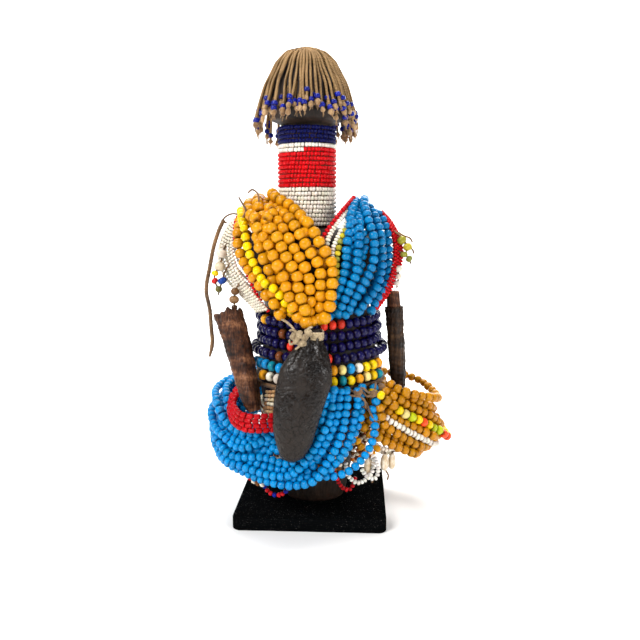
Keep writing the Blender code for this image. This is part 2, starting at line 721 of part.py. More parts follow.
def make_horns():
    sizes = [share * LEFT_HORN_RADIUS for share in LEFT_HORN_TAPER]
    outer = horn_rings(LEFT_HORN_AXIS, sizes, 12, 7)
    chipped = [point + Vector((0, 0, chip)) for point, chip in zip(outer[0], RIM_CHIPS)]
    path = smooth_curve(np.array(LEFT_HORN_AXIS) * MM, 7)
    direction = path[1] - path[0]
    floor = path[0] + direction / np.linalg.norm(direction) * LEFT_HORN_DEPTH
    bore = LEFT_HORN_RADIUS - LEFT_HORN_WALL
    mouth = [point + Vector((0, 0, chip)) for point, chip
             in zip(flat_ring(path[0], direction, bore, 12), RIM_CHIPS)]
    hollow = [flat_ring(floor, direction, bore * 0.9, 12), mouth, chipped]
    loft("left_horn", hollow + outer[1:], horn_shell)
    sizes = [share * RIGHT_HORN_RADIUS for share in RIGHT_HORN_TAPER]
    loft("right_horn", horn_rings(RIGHT_HORN_AXIS, sizes, 10, 6), dark_horn)
    loft("right_horn_stopper", horn_rings(STOPPER_AXIS, (STOPPER_RADIUS * 0.86, STOPPER_RADIUS), 8, 2),
         brown_fibre)


make_horns()

# The amulet: a leather pouch gathered at its neck, hanging down the front
# height, sideways place, depth place, share of half width, share of half depth
AMULET_SECTIONS = (
    (45, -10, -66, 0.20, 0.35),
    (50, -9.5, -66, 0.46, 0.68),
    (58, -8.5, -65.5, 0.65, 0.86),
    (67, -8, -65, 0.76, 0.93),
    (77, -6.5, -64, 0.85, 0.98),
    (87, -4.5, -62.5, 0.92, 1.0),
    (97, -2, -60.5, 1.0, 1.0),
    (106, -1, -59, 0.92, 0.97),
    (115, 0.5, -56, 0.70, 0.85),
    (121, 2, -54, 0.46, 0.66),
    (126, 3.5, -52, 0.26, 0.46),
    (131, 5, -51, 0.30, 0.40),
)
AMULET_SIDES = 12


def make_amulet():
    rings = []
    for height, x, y, wide, deep in AMULET_SECTIONS:
        ring = []
        for side in range(AMULET_SIDES):
            turn = 2 * math.pi * side / AMULET_SIDES
            ring.append(Vector((x * MM + wide * AMULET_HALF_WIDTH * math.cos(turn),
                                y * MM + deep * AMULET_HALF_DEPTH * math.sin(turn), height * MM)))
        rings.append(ring)
    loft("leather_amulet", rings, amulet_leather)


make_amulet()

# Small things strung at the shoulders and hips: beads on short threads


def bead_string(name, points, radii, material, sides=6):
    """A short string of beads: a loft that swells at each bead and narrows between them."""
    path = smooth_curve(np.array(points, dtype=float) * MM, 3 * len(radii))
    ahead = np.gradient(path, axis=0)
    rings = []
    for index, (centre, direction) in enumerate(zip(path, ahead)):
        radius = radii[index // 3] * MM * (1.0 if index % 3 == 1 else 0.62)
        rings.append(flat_ring(centre, direction, radius, sides))
    loft(name, rings, material)


def make_tassels():
    bead_string("left_tassel_upper", ((-62, -12, 163), (-68, -14, 160), (-71, -14, 154)),
                (2.8, 2.4, 2.4), brown_fibre)
    bead_string("left_tassel_lower", ((-54, -22, 150), (-56, -24, 145), (-57, -25, 141.5)),
                (2.4, 2.4), brown_fibre)
    bead_string("right_tassel_upper", ((62, -7, 190), (67, -9, 186), (70, -9, 179), (72, -9, 172)),
                (2.8, 2.6, 2.2), yellow_glass)
    bead_string("right_tassel_lower", ((60, -8, 168), (61, -9, 162), (59, -9, 156)), (2.4, 2.4),
                cowrie_shell)


make_tassels()


def make_shells():
    """Small cowrie shells in the lower right of the skirt."""
    places = ((45, 54.5, 33.5), (56, 60, 34.5), (63, 62, 33.5))
    for number, (angle, radius, height) in enumerate(places, start=1):
        builder = bmesh.new()
        bmesh.ops.create_uvsphere(builder, u_segments=6, v_segments=5, radius=0.0032)
        bmesh.ops.scale(builder, vec=(0.9, 0.8, 2.0), verts=builder.verts)
        mesh = bpy.data.meshes.new("shell")
        builder.to_mesh(mesh)
        builder.free()
        smooth_shade(mesh)
        shell = add_object(f"cowrie_shell_{number}", mesh, cowrie_shell)
        shell.location = around(math.radians(angle), radius * MM, height * MM)


make_shells()

# Fibre knot that ties the amulet to the belt, and the loose cord at the left shoulder
KNOT_POINTS = ((-12, -47, 128), (-8, -52.5, 133), (-3, -54.5, 131), (-5, -56, 125), (-12, -55, 122))
KNOT_DIAMETER = 0.0040
SIDE_CORD_POINTS = (
    (-63, -4, 201), (-66.5, -4, 194), (-69, -4.5, 187), (-71, -5, 180), (-72.5, -6, 172),
    (-74, -7, 164), (-75.3, -9, 156), (-75, -12, 149.5), (-73.2, -15.5, 144),
    (-71.4, -19, 138.5), (-70.6, -21, 132), (-69.8, -23, 125), (-69, -24.5, 118),
    (-69.6, -25.5, 112), (-71, -26, 106.5),
)

tube("amulet_knot", np.array(KNOT_POINTS) * MM, KNOT_DIAMETER, pale_fibre, 9, 1)
tube("side_cord", np.array(SIDE_CORD_POINTS) * MM, SIDE_CORD_DIAMETER, brown_fibre, 16)
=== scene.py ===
import math

import bpy
import numpy as np
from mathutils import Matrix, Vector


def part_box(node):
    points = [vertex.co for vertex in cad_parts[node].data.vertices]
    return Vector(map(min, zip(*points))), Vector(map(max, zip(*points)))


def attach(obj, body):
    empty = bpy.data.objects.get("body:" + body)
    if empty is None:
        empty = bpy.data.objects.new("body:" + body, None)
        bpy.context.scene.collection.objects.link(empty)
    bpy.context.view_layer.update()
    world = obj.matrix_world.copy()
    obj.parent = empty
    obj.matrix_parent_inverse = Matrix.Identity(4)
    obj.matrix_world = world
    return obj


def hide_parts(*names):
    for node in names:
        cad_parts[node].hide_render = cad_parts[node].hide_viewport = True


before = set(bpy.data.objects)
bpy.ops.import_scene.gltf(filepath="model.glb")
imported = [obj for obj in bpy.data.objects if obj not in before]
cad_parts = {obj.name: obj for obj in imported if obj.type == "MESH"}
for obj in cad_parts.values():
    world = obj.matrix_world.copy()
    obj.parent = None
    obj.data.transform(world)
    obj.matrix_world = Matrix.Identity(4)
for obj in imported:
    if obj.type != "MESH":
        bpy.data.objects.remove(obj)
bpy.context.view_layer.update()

MM = 0.001
chance = np.random.default_rng(7)

# View and light
# The doll is seen from the height of its collar, half a metre away and a little from the right.
# A pale seamless paper sweep carries the plinth, under soft window-like studio light.
# Left and right are the viewer's; lengths are in millimetres unless a name or a comment differs.

CAMERA_PLACE = (0.0324, -0.529, 0.220)
CAMERA_DOWN, CAMERA_LEFT = math.radians(8.76), math.radians(2.96)

camera_data = bpy.data.cameras.new("camera")
camera_data.sensor_width = 36.0
camera_data.lens = 36.0 * 740.0 / 640.0
camera_data.clip_start = 0.01
camera = bpy.data.objects.new("camera", camera_data)
camera.location = CAMERA_PLACE
camera.rotation_euler = (math.pi / 2 - CAMERA_DOWN, 0.0, CAMERA_LEFT)
bpy.context.scene.collection.objects.link(camera)
bpy.context.scene.camera = camera
bpy.context.scene.view_settings.view_transform = "Standard"


def linear(hex_colour):
    """sRGB hex to linear red, green, blue, 1: each channel by the sRGB curve."""
    channels = np.array([int(hex_colour[k:k + 2], 16) for k in (1, 3, 5)]) / 255.0
    low, high = channels / 12.92, ((channels + 0.055) / 1.055) ** 2.4
    return tuple(np.where(channels <= 0.04045, low, high)) + (1.0,)


def add_node(finish, kind, links=(), stops=(), **settings):
    """Add a node: a setting is a property or a socket's value, a link is (socket, node, output),
    and a stop of a colour ramp is (place, colour)."""
    node = finish.node_tree.nodes.new("ShaderNode" + kind)
    for name, value in settings.items():
        if hasattr(node, name):
            setattr(node, name, value)
        else:
            words = name.replace("_", " ").lower()
            next(s for s in node.inputs if s.name.lower() == words).default_value = value
    for k, (place, colour) in enumerate(stops):
        stop = node.color_ramp.elements[k] if k < 2 else node.color_ramp.elements.new(place)
        stop.position, stop.color = place, linear(colour)
    for socket, source, output in links:
        finish.node_tree.links.new(source.outputs[output], node.inputs[socket])
    return node


def new_finish(name):
    finish = bpy.data.materials.new(name)
    finish.use_nodes = True
    finish.node_tree.nodes.clear()
    return finish


def shade(finish, links=(), bump=None, **settings):
    """Close a finish with its shader and output; bump is a node whose Normal goes to the shader."""
    wires = list(links) + ([("Normal", bump, "Normal")] if bump else [])
    shader = add_node(finish, "BsdfPrincipled", wires, **settings)
    add_node(finish, "OutputMaterial", [("Surface", shader, "BSDF")])
    return finish


def quads(rows, columns, close_rows=False, close_columns=True):
    """Four corners of each cell of a grid, numbered along the rows, closed round where told."""
    i = np.arange(rows if close_rows else rows - 1)[:, None]
    j = np.arange(columns if close_columns else columns - 1)[None, :]
    i2, j2 = (i + 1) % rows, (j + 1) % columns
    cells = np.stack([i * columns + j, i * columns + j2, i2 * columns + j2, i2 * columns + j], -1)
    return cells.reshape(-1, 4)


def solid(name, points, faces, finishes, **notes):
    """Mesh object from millimetre points and lists of equal-sided faces; notes are attributes."""
    mesh = bpy.data.meshes.new(name)
    points = np.asarray(points, float).reshape(-1, 3) * MM
    corners = np.concatenate([f.ravel() for f in faces])
    sizes = np.concatenate([np.full(len(f), f.shape[1]) for f in faces])
    mesh.vertices.add(len(points))
    mesh.vertices.foreach_set("co", points.ravel())
    mesh.loops.add(len(corners))
    mesh.loops.foreach_set("vertex_index", corners.astype(np.int32))
    mesh.polygons.add(len(sizes))
    mesh.polygons.foreach_set("loop_start", (np.cumsum(sizes) - sizes).astype(np.int32))
    mesh.update(calc_edges=True)
    mesh.polygons.foreach_set("use_smooth", np.ones(len(sizes), bool))
    for note, values in notes.items():
        values = np.asarray(values, float)
        wide = values.ndim > 1
        layer = mesh.attributes.new(note, "FLOAT_COLOR" if wide else "FLOAT", "POINT")
        layer.data.foreach_set("color" if wide else "value", values.ravel())
    for finish in finishes:
        mesh.materials.append(finish)
    piece = bpy.data.objects.new(name, mesh)
    bpy.context.scene.collection.objects.link(piece)
    return piece


def unit(vectors):
    return vectors / np.maximum(np.linalg.norm(vectors, axis=-1, keepdims=True), 1e-9)


# paper sweep: flat under the plinth, then rising behind in a quarter circle
SWEEP_HALF_WIDTH, SWEEP_NEAR, SWEEP_FAR, SWEEP_BEND = 2600.0, 1500.0, 1500.0, 900.0
run = np.linspace(0, 1, 60)
flat, bent = run * (SWEEP_NEAR + SWEEP_FAR) - SWEEP_NEAR, run[1:] * math.pi / 2
deep = np.concatenate([flat, SWEEP_FAR + SWEEP_BEND * np.sin(bent), [SWEEP_FAR + SWEEP_BEND]])
high = np.concatenate([flat * 0, SWEEP_BEND * (1 - np.cos(bent)), [SWEEP_BEND + 1800.0]])
across = np.linspace(-SWEEP_HALF_WIDTH, SWEEP_HALF_WIDTH, 12)
sweep_points = np.stack(np.broadcast_arrays(across[None, :], deep[:, None], high[:, None]), -1)

paper = new_finish("matt paper")
shade(paper, Base_Color=linear("#F4F3F1"), Roughness=0.92, Specular_IOR_Level=0.2)
sweep = solid("paper_sweep", sweep_points, [quads(len(deep), 12, False, False)[:, ::-1]], [paper])

world = bpy.data.worlds.new("studio")
world.use_nodes = True
world.node_tree.nodes["Background"].inputs["Color"].default_value = linear("#F2F5FA")
world.node_tree.nodes["Background"].inputs["Strength"].default_value = 0.26
bpy.context.scene.world = world

# soft boxes: place, size in metres, watts, and the point that they look at
for name, place, size, watts, target in (
        ("key_window", (-0.75, -0.85, 0.95), 0.75, 21.0, (0.0, 0.0, 0.16)),
        ("fill_card", (0.95, -0.70, 0.45), 0.55, 6.5, (0.0, 0.0, 0.16)),
        ("top_card", (0.10, 0.35, 1.25), 0.80, 8.0, (0.0, 0.0, 0.16)),
        ("back_card", (0.30, 1.00, 0.60), 0.80, 5.0, (0.0, 0.0, 0.16)),
        ("backdrop_wash", (0.0, 0.70, 2.0), 1.60, 110.0, (0.0, 2.4, 0.9))):
    lamp = bpy.data.lights.new(name, "AREA")
    lamp.energy, lamp.size = watts, size
    holder = bpy.data.objects.new(name, lamp)
    aim = np.array(target) - np.array(place)
    turn = math.atan2(aim[0], -aim[1]), math.acos(-aim[2] / np.linalg.norm(aim))
    holder.location = place
    holder.rotation_euler = (turn[1], 0.0, turn[0] + math.pi)
    bpy.context.scene.collection.objects.link(holder)

# Loose side cord
# A loose twisted plant-fibre cord tied at the left shoulder, hanging past the horn to a frayed end.
# Two plies laid together by hand; it passes over the shoulder tassel and is bare at its end.

SIDE_CORD_EXIT = (-63, -4, 210.3)
SIDE_CORD_ROUTE = [SIDE_CORD_EXIT, (-66.5, -4, 203.3), (-69, -4.5, 196.3), (-71, -5, 189.3),
                   (-72.5, -6, 181.3), (-74, -7, 173.3), (-75.3, -9, 165.3), (-75, -12, 158.8),
                   (-73.2, -15.5, 153.3), (-71.4, -19, 147.8), (-70.6, -21, 141.3),
                   (-69.8, -23, 134.3), (-69, -24.5, 127.3), (-69.6, -25.5, 121.3), (-71, -26, 115.8)]
SIDE_CORD_DIAMETER = 3.2
CORD_LAY = 5.0


def read_off(at, steps, table):
    """Each column of a table read at some places, straight between the table's steps."""
    return np.stack([np.interp(at, steps, column) for column in np.asarray(table).T], -1)


def smooth_path(points, count):
    """Catmull-Rom curve through the points, its slope at each that of its neighbours, even by length."""
    p = np.asarray(points, float)
    p = np.concatenate([[2 * p[0] - p[1]], p, [2 * p[-1] - p[-2]]])
    t = np.linspace(0, len(p) - 3, 20 * len(p))
    i = np.minimum(t.astype(int), len(p) - 4)
    f = (t - i)[:, None]
    a, b, c, d = p[i], p[i + 1], p[i + 2], p[i + 3]
    curve = 0.5 * (2 * b + (c - a) * f + (2 * a - 5 * b + 4 * c - d) * f ** 2
                   + (3 * b - a - 3 * c + d) * f ** 3)
    run = np.concatenate([[0], np.cumsum(np.linalg.norm(np.diff(curve, axis=0), axis=1))])
    return read_off(np.linspace(0, run[-1], count), run, curve)


def length_of(points):
    path = smooth_path(points, 200)
    return np.linalg.norm(np.diff(path, axis=0), axis=1).sum()


def rings_round(ahead, sides, beside=None):
    """Unit vectors out to each side of a ring square to the way ahead, the first one nearest to
    beside: straight up if it isn't given, or to the right where the way itself is steep."""
    if beside is None:
        beside = np.where(np.abs(ahead[..., 2:]) > 0.8, (1.0, 0.0, 0.0), (0.0, 0.0, 1.0))
    n = unit(beside - (beside * ahead).sum(-1, keepdims=True) * ahead)
    b = np.cross(ahead, n)
    turn = np.arange(sides) * 2 * math.pi / sides
    return np.cos(turn)[:, None] * n[..., None, :] + np.sin(turn)[:, None] * b[..., None, :]


def closed_skins(count, rings, sides):
    """Faces of skins laid one after the other: the cells of each one's rings, then its two ends."""
    first = (np.arange(count) * rings * sides)[:, None, None]
    rim = np.arange(sides)[None, None, :]
    return [(quads(rings, sides)[None] + first).reshape(-1, 4),
            (first + rim[..., ::-1]).reshape(-1, sides),
            (first + rim + (rings - 1) * sides).reshape(-1, sides)]


def tubes(paths, radii, sides, beside=None):
    """Skin of cords: at each path point a ring of the given radii, square to the path.

    paths is cords x steps x 3, radii is cords x steps x sides or less, beside the ring's zero side."""
    paths = np.asarray(paths, float)
    ring = rings_round(unit(np.gradient(paths, axis=1)), sides, beside)
    points = paths[:, :, None, :] + ring * np.broadcast_to(radii, ring.shape[:3])[..., None]
    return points.reshape(-1, 3), closed_skins(*ring.shape[:3])


def laid(radius, steps, length, sides, lay=CORD_LAY):
    """Radii of a laid cord: each of its two plies is a hump that goes once round in one lay."""
    run = np.linspace(0, length, steps)[:, None]
    turn = np.arange(sides)[None, :] * 2 * math.pi / sides
    hump = np.abs(np.cos(turn - 2 * math.pi * run / lay))
    return radius * (0.82 + 0.18 * hump)


def joined(*parts):
    """Several (points, faces) sets as one, with the later ones' faces renumbered."""
    points, faces, first = [], [], 0
    for some_points, some_faces in parts:
        some_points = some_points.reshape(-1, 3)
        points.append(some_points)
        faces += [f + first for f in some_faces]
        first += len(some_points)
    return np.concatenate(points), faces


def placed(piece, slot, *nodes):
    """Fix a piece to the doll and hide the solids it stands for; slot is not used."""
    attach(piece, "root")
    if nodes:
        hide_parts(*nodes)
    return piece


def fibre_finish(name, light, dark, lay_scale):
    """Twisted bast fibre: pale and dusty dark fibres mixed finely, in broad patches, and matt."""
    finish = new_finish(name)
    place = add_node(finish, "TexCoord")
    fine = add_node(finish, "TexNoise", [("Vector", place, "Object")],
                    Scale=lay_scale, Detail=6.0, Roughness=0.7)
    broad = add_node(finish, "TexNoise", [("Vector", place, "Object")],
                     Scale=lay_scale / 12, Detail=3.0)
    mixed = add_node(finish, "Math", [(0, fine, "Fac"), (1, broad, "Fac")],
                     operation="MULTIPLY")
    ramp = add_node(finish, "ValToRGB", [("Fac", mixed, "Value")], ((0.12, dark), (0.36, light)))
    bump = add_node(finish, "Bump", [("Height", fine, "Fac")], Strength=0.6,
                    Distance=0.0004)
    return shade(finish, [("Base Color", ramp, "Color")], bump, Roughness=0.85,
                 Specular_IOR_Level=0.25, Sheen_Weight=0.25, Sheen_Roughness=0.5)


# dark hand-twisted bast cord: brown, greasy with handling
brown_fibre = fibre_finish("brown bast fibre cord", "#8C6A48", "#33231A", 900.0)
# undyed thread: pale tan, browned here and there by dust
pale_fibre = fibre_finish("pale bast fibre thread", "#CDB893", "#6E5A40", 900.0)

route = smooth_path(SIDE_CORD_ROUTE, 150)
cord_length = length_of(SIDE_CORD_ROUTE)
taper = np.interp(np.linspace(0, 1, 150), (0, 0.93, 1), (1, 1, 0.55))[:, None]
cord_points, cord_faces = tubes(route[None], laid(SIDE_CORD_DIAMETER / 2, 150, cord_length, 8)
                                * taper, 8, beside=np.array((0.0, -1.0, 0.0)))
side_cord = placed(solid("side_cord_twisted", cord_points, cord_faces, [brown_fibre]),
                   "brown_cord", "side_cord")

# Plinth
# A square board sprayed with black satin lacquer, its corners rounded and its top edge eased.
# The figure's round foot stands on its middle.

PLINTH_WIDTH, PLINTH_HEIGHT, PLINTH_CORNER, PLINTH_EASE = 106.0, 9.0, 6.0, 0.8
PLINTH_SIDES = 96
FOOT_Z = 9.3


def board_outline(inset):
    """Rounded square: the centres of a square's rounded corners plus a circle of their radius."""
    turn = (np.arange(PLINTH_SIDES) + 0.5) * 2 * math.pi / PLINTH_SIDES
    way = np.stack([np.cos(turn), np.sin(turn)], -1)
    return np.sign(way) * (PLINTH_WIDTH / 2 - PLINTH_CORNER) + max(PLINTH_CORNER - inset, 0.2) * way


ease = np.linspace(0, math.pi / 2, 5)
insets = np.concatenate([[0.5, 0.0], PLINTH_EASE * (1 - np.cos(ease))])
heights = np.concatenate([[0.0, 0.5], PLINTH_HEIGHT - PLINTH_EASE * (1 - np.sin(ease))])
rings = np.stack([np.column_stack([board_outline(i), np.full(PLINTH_SIDES, z)])
                  for i, z in zip(insets, heights)])

# black lacquer: near-black, with fine pale dust specks and no shine, as the photograph shows none
lacquer = new_finish("black satin lacquer on board")
place = add_node(lacquer, "TexCoord")
specks = add_node(lacquer, "TexNoise", [("Vector", place, "Object")], Scale=1400.0,
                  Detail=2.0, Roughness=0.5)
dust = add_node(lacquer, "ValToRGB", [("Fac", specks, "Fac")], ((0.66, "#070809"), (0.80, "#6D6A66")))
orange_peel = add_node(lacquer, "TexNoise", [("Vector", place, "Object")], Scale=700.0)
peel_bump = add_node(lacquer, "Bump", [("Height", orange_peel, "Fac")], Strength=0.12,
                     Distance=0.0002)
shade(lacquer, [("Base Color", dust, "Color")], peel_bump, Roughness=0.55,
      Specular_IOR_Level=0.0)
placed(solid("plinth_board", rings, closed_skins(1, *rings.shape[:2]), [lacquer]), "plinth", "plinth")

# Carved figure
# One block of dark hardwood: foot, flared hips, waist, flat shoulders, long neck and small head.
# Cut with an adze and knife, then darkened with oil and handling; it leans a little.

LEAN = np.array([(0, 1), (51, 3), (96, 4.5), (126, 4.5), (181, -1.5), (196, -4), (269, -4),
                 (291, -5), (316, -5)], float)
# height above the foot, half width and half depth of the wood
SECTIONS = np.array([(0, 21.5, 21.5), (1.5, 22.6, 22.6), (5, 23.5, 23.5), (21, 26, 26),
                     (36, 30, 30), (56, 36, 34), (76, 41, 37), (96, 46, 40), (109, 42, 38),
                     (116, 38, 36), (143, 38, 36), (156, 42, 36.5), (170, 48, 36), (181, 49, 34),
                     (187, 47.5, 31.5), (191, 43, 27.5), (194.5, 34, 22.5), (196.2, 17, 17),
                     (266, 17, 17), (269, 24.7, 24.7), (273.5, 26.7, 26.7), (283, 27.5, 27.5),
                     (293.5, 25.6, 25.6), (302.8, 20.4, 20.4), (310, 12.1, 12.1),
                     (313.5, 3.3, 3.3)], float)
# how far the wound collar stands out from the neck, and between which heights above the foot
COLLAR, COLLAR_LOW, COLLAR_HIGH = 3.4, 196, 269
# the section's superellipse is a little squarer than an ellipse, whose power is 2
POWER = 2.2
FIGURE_SIDES = 112


def lean_at(z):
    return np.interp(z - FOOT_Z, LEAN[:, 0], LEAN[:, 1])


def wood_value(points, cover=0.0):
    """How far out a point is as a share of the section there: 0 on the wood, more outside.

    The section is a superellipse, widened by cover, and on the neck by the collar."""
    x, y, z = points[..., 0] - lean_at(points[..., 2]), points[..., 1], points[..., 2] - FOOT_Z
    wrap = cover + COLLAR * ((z > COLLAR_LOW) & (z < COLLAR_HIGH))
    half = read_off(z, SECTIONS[:, 0], SECTIONS[:, 1:]) + wrap[..., None]
    return (np.abs(x / half[..., 0]) ** POWER + np.abs(y / half[..., 1]) ** POWER) ** (1 / POWER) - 1


def wood_gap(points, cover=0.0):
    """Distance from the wood and the way out: the value over its slope, by central differences."""
    step = np.eye(3) * 0.4
    slope = np.stack([(wood_value(points + s, cover) - wood_value(points - s, cover)) / 0.8
                      for s in step], -1)
    steep = np.maximum(np.linalg.norm(slope, axis=-1), 0.008)
    return wood_value(points, cover) / steep, slope / steep[..., None]


def around(angle, radius, z):
    """Point at an angle from the front, a distance from the leaning axis, and a height."""
    turn = np.radians(angle)
    return np.stack(np.broadcast_arrays(lean_at(z) + radius * np.sin(turn),
                                        -radius * np.cos(turn), z), -1)


def section_radius(angle, z, out=0.0):
    """Radius of the wood's superellipse at an angle, plus a distance out."""
    turn, half = np.radians(angle), read_off(z - FOOT_Z, SECTIONS[:, 0], SECTIONS[:, 1:])
    return (np.abs(np.sin(turn) / half[..., 0]) ** POWER
            + np.abs(np.cos(turn) / half[..., 1]) ** POWER) ** (-1 / POWER) + out


levels = np.unique(np.concatenate([SECTIONS[:, 0], np.linspace(0.3, 312, 170)])) + FOOT_Z
angle_grid, level_grid = np.meshgrid(np.arange(FIGURE_SIDES) * 360 / FIGURE_SIDES, levels)
# knife facets: shallow cuts about 9 mm wide and 14 mm tall, 0.25 mm deep
facets = 0.25 * np.sin(angle_grid * 0.28 + np.sin(level_grid * 0.45) * 1.3) \
    * np.sin(level_grid * 0.42 + np.sin(angle_grid * 0.11))
skin = around(angle_grid, section_radius(angle_grid, level_grid, facets - 0.25), level_grid)

# oiled dark hardwood: brown-black, in streaks of grain that run up the figure and broad stains
wood = new_finish("oiled carved hardwood")
place = add_node(wood, "TexCoord")
stretch = add_node(wood, "Mapping", [("Vector", place, "Object")],
                   Scale=(1.0, 1.0, 0.12))
grain = add_node(wood, "TexNoise", [("Vector", stretch, "Vector")], Scale=650.0,
                 Detail=6.0, Roughness=0.65)
stain = add_node(wood, "TexNoise", [("Vector", place, "Object")], Scale=60.0, Detail=3.0)
tone = add_node(wood, "Math", [(0, grain, "Fac"), (1, stain, "Fac")],
                operation="MULTIPLY")
wood_ramp = add_node(wood, "ValToRGB", [("Fac", tone, "Value")], ((0.15, "#120C08"), (0.42, "#3A2A20")))
grain_bump = add_node(wood, "Bump", [("Height", grain, "Fac")], Strength=0.5,
                      Distance=0.0002)
shade(wood, [("Base Color", wood_ramp, "Color")], grain_bump, Roughness=0.55,
      Specular_IOR_Level=0.25)
placed(solid("carved_figure", skin, closed_skins(1, *skin.shape[:2]), [wood]), "figure_wood",
       "wooden_figure")

# Collar of seed beads
# Fine glass seed beads on a fibre thread, wound row on row round the long neck.
# Bands from the bottom: cream, red, a narrow cream and cobalt, one strand each.

NECK_ROWS = (("white_lower", 9, "#EBE2D2"), ("red", 8, "#D01018"), ("white_upper", 2, "#EFE7DA"),
             ("blue", 4, "#0A104C"))
NECK_ROW_PITCH, NECK_BEAD, NECK_BEAD_LENGTH = 2.96, 2.9, 2.35
NECK_FOOT, NECK_RING = 206.1, 19.3


def bead_skin(centres, ahead, across, length, sides=10, rings=6, squareness=2.0, bore=0.14):
    """Drilled bead turned about its thread: a superellipse from one mouth of the bore to the other.

    All beads at once: centres and directions are beads x 3, across and length one number a bead."""
    ahead = unit(ahead)
    ring = rings_round(ahead, sides)
    lean = np.linspace(-1, 1, rings) * math.pi / 2
    along = np.sign(lean) * np.abs(np.sin(lean)) ** (2 / squareness)
    out = bore + (1 - bore) * np.cos(lean).clip(0) ** (2 / squareness)
    across = np.broadcast_to(across, len(centres)) / 2
    length = np.broadcast_to(length, len(centres)) / 2
    points = (centres[:, None, None, :]
              + ahead[:, None, None, :] * (along[:, None] * length[:, None, None])[..., None]
              + ring[:, None, :, :] * (out[:, None] * across[:, None, None])[..., None])
    first = (np.arange(len(centres)) * rings * sides)[:, None, None]
    faces = (quads(rings, sides, True, True)[None] + first).reshape(-1, 4)
    # each skin point's nearness to a mouth of the bore, which the glass finishes darken as painted shade
    # between beads
    end_nearness = np.broadcast_to(np.abs(along)[None, :, None], points.shape[:3])
    return points.reshape(-1, 3), faces, end_nearness.ravel()


def glazes(colours, spread):
    """Each bead's own colour: its glass colour, lighter or darker by up to the spread."""
    colours = np.asarray(colours, float)
    shift = 1 + spread * chance.standard_normal((len(colours), 1)) \
        + 0.3 * spread * chance.standard_normal((len(colours), 3))
    return np.concatenate([np.clip(colours[:, :3] * shift, 0, 1), np.ones((len(colours), 1))], 1)


def glass_finish(name, roughness, coat, end_shade):
    """Opaque wound glass: colour in the glass itself, a soft wet shine, painted shade with some grime at
    the bore.
    """
    finish = new_finish(name)
    glaze = add_node(finish, "Attribute", attribute_name="glaze")
    bore = add_node(finish, "Attribute", attribute_name="bore")
    place = add_node(finish, "TexCoord")
    cloud = add_node(finish, "TexNoise", [("Vector", place, "Object")], Scale=420.0,
                     Detail=4.0, Roughness=0.6)
    # painted shade, with some grime: near the mouths of its bore, where it meets its neighbours, each bead
    # is mixed towards dark brown
    near = add_node(finish, "MapRange", [("Value", bore, "Fac")], From_Min=0.72,
                    From_Max=1.0, To_Min=0.0, To_Max=end_shade)
    patch = add_node(finish, "MapRange", [("Value", cloud, "Fac")], From_Min=0.35,
                     From_Max=0.7, To_Min=0.82, To_Max=1.08)
    tinted = add_node(finish, "VectorMath", [(0, glaze, "Color"), ("Scale", patch, "Result")],
                      operation="SCALE")
    end_shaded = add_node(finish, "Mix", [(0, near, "Result"), (6, tinted, "Vector")], data_type="RGBA")
    end_shaded.inputs[7].default_value = linear("#2A1C12")
    rough = add_node(finish, "MapRange", [("Value", cloud, "Fac")], From_Min=0.3,
                     From_Max=0.75, To_Min=roughness - 0.06, To_Max=roughness + 0.2)
    pits = add_node(finish, "Bump", [("Height", cloud, "Fac")], Strength=0.15,
                    Distance=0.0003)
    return shade(finish, [("Base Color", end_shaded, 2), ("Roughness", rough, "Result")], pits,
                 IOR=1.52, Specular_IOR_Level=0.04, Coat_Weight=coat, Coat_Roughness=0.07)


# trade beads of opaque glass, polished by wear: strong colour with a small bright window on each
bead_glass = glass_finish("opaque glass trade bead", 0.28, 0.4, 0.7)
# fine seed beads: the same glass, its shine broken by size and dust
seed_glass = glass_finish("opaque glass seed bead", 0.4, 0.15, 0.4)


def strung(name, centres, ahead, across, length, colours, finish, slot, nodes, spread=0.08,
           **shape):
    """One piece of many beads, with each bead's colour and the nearness to its bore's mouths, for painted
    shade, as attributes.
    """
    points, faces, end_nearness = bead_skin(centres, ahead, across, length, **shape)
    glaze = np.repeat(glazes(colours, spread), len(points) // len(centres), axis=0)
    placed(solid(name, points, [faces], [finish], glaze=glaze, bore=end_nearness), slot, *nodes)


row = 0
for band, count, colour in NECK_ROWS:
    beads = round(2 * math.pi * NECK_RING / NECK_BEAD_LENGTH)
    k, j = np.meshgrid(np.arange(count), np.arange(beads), indexing="ij")
    turn = j * 360 / beads + 1.3 * (row + k) + chance.normal(0, 0.5, k.shape)
    z = NECK_FOOT + NECK_ROW_PITCH * (row + k + 0.5) + 0.18 * np.sin(np.radians(turn * 2 + 50 * k)) \
        + chance.normal(0, 0.06, k.shape)
    radius = NECK_RING + chance.normal(0, 0.1, k.shape)
    centres = around(turn, radius, z).reshape(-1, 3)
    ahead = (around(turn + 1, radius, z) - around(turn - 1, radius, z)).reshape(-1, 3)
    colours = np.tile(linear(colour), (len(centres), 1))
    if band == "white_upper":
        red_turn = (k == 0) & (np.mod(turn + 180, 360) - 180 > -2) & (np.mod(turn + 180, 360) < 310)
        colours[red_turn.ravel()] = linear("#D01018")
    slots = {"red": "red_beads", "blue": "navy_beads"}
    strung("neck_" + band, centres, ahead, NECK_BEAD * (1 + chance.normal(0, 0.03, len(centres))),
           NECK_BEAD_LENGTH * 1.02, colours, seed_glass, slots.get(band, "white_beads"),
           ["neck_beads_" + band], 0.07, sides=8, rings=6, squareness=2.8)
    row += count
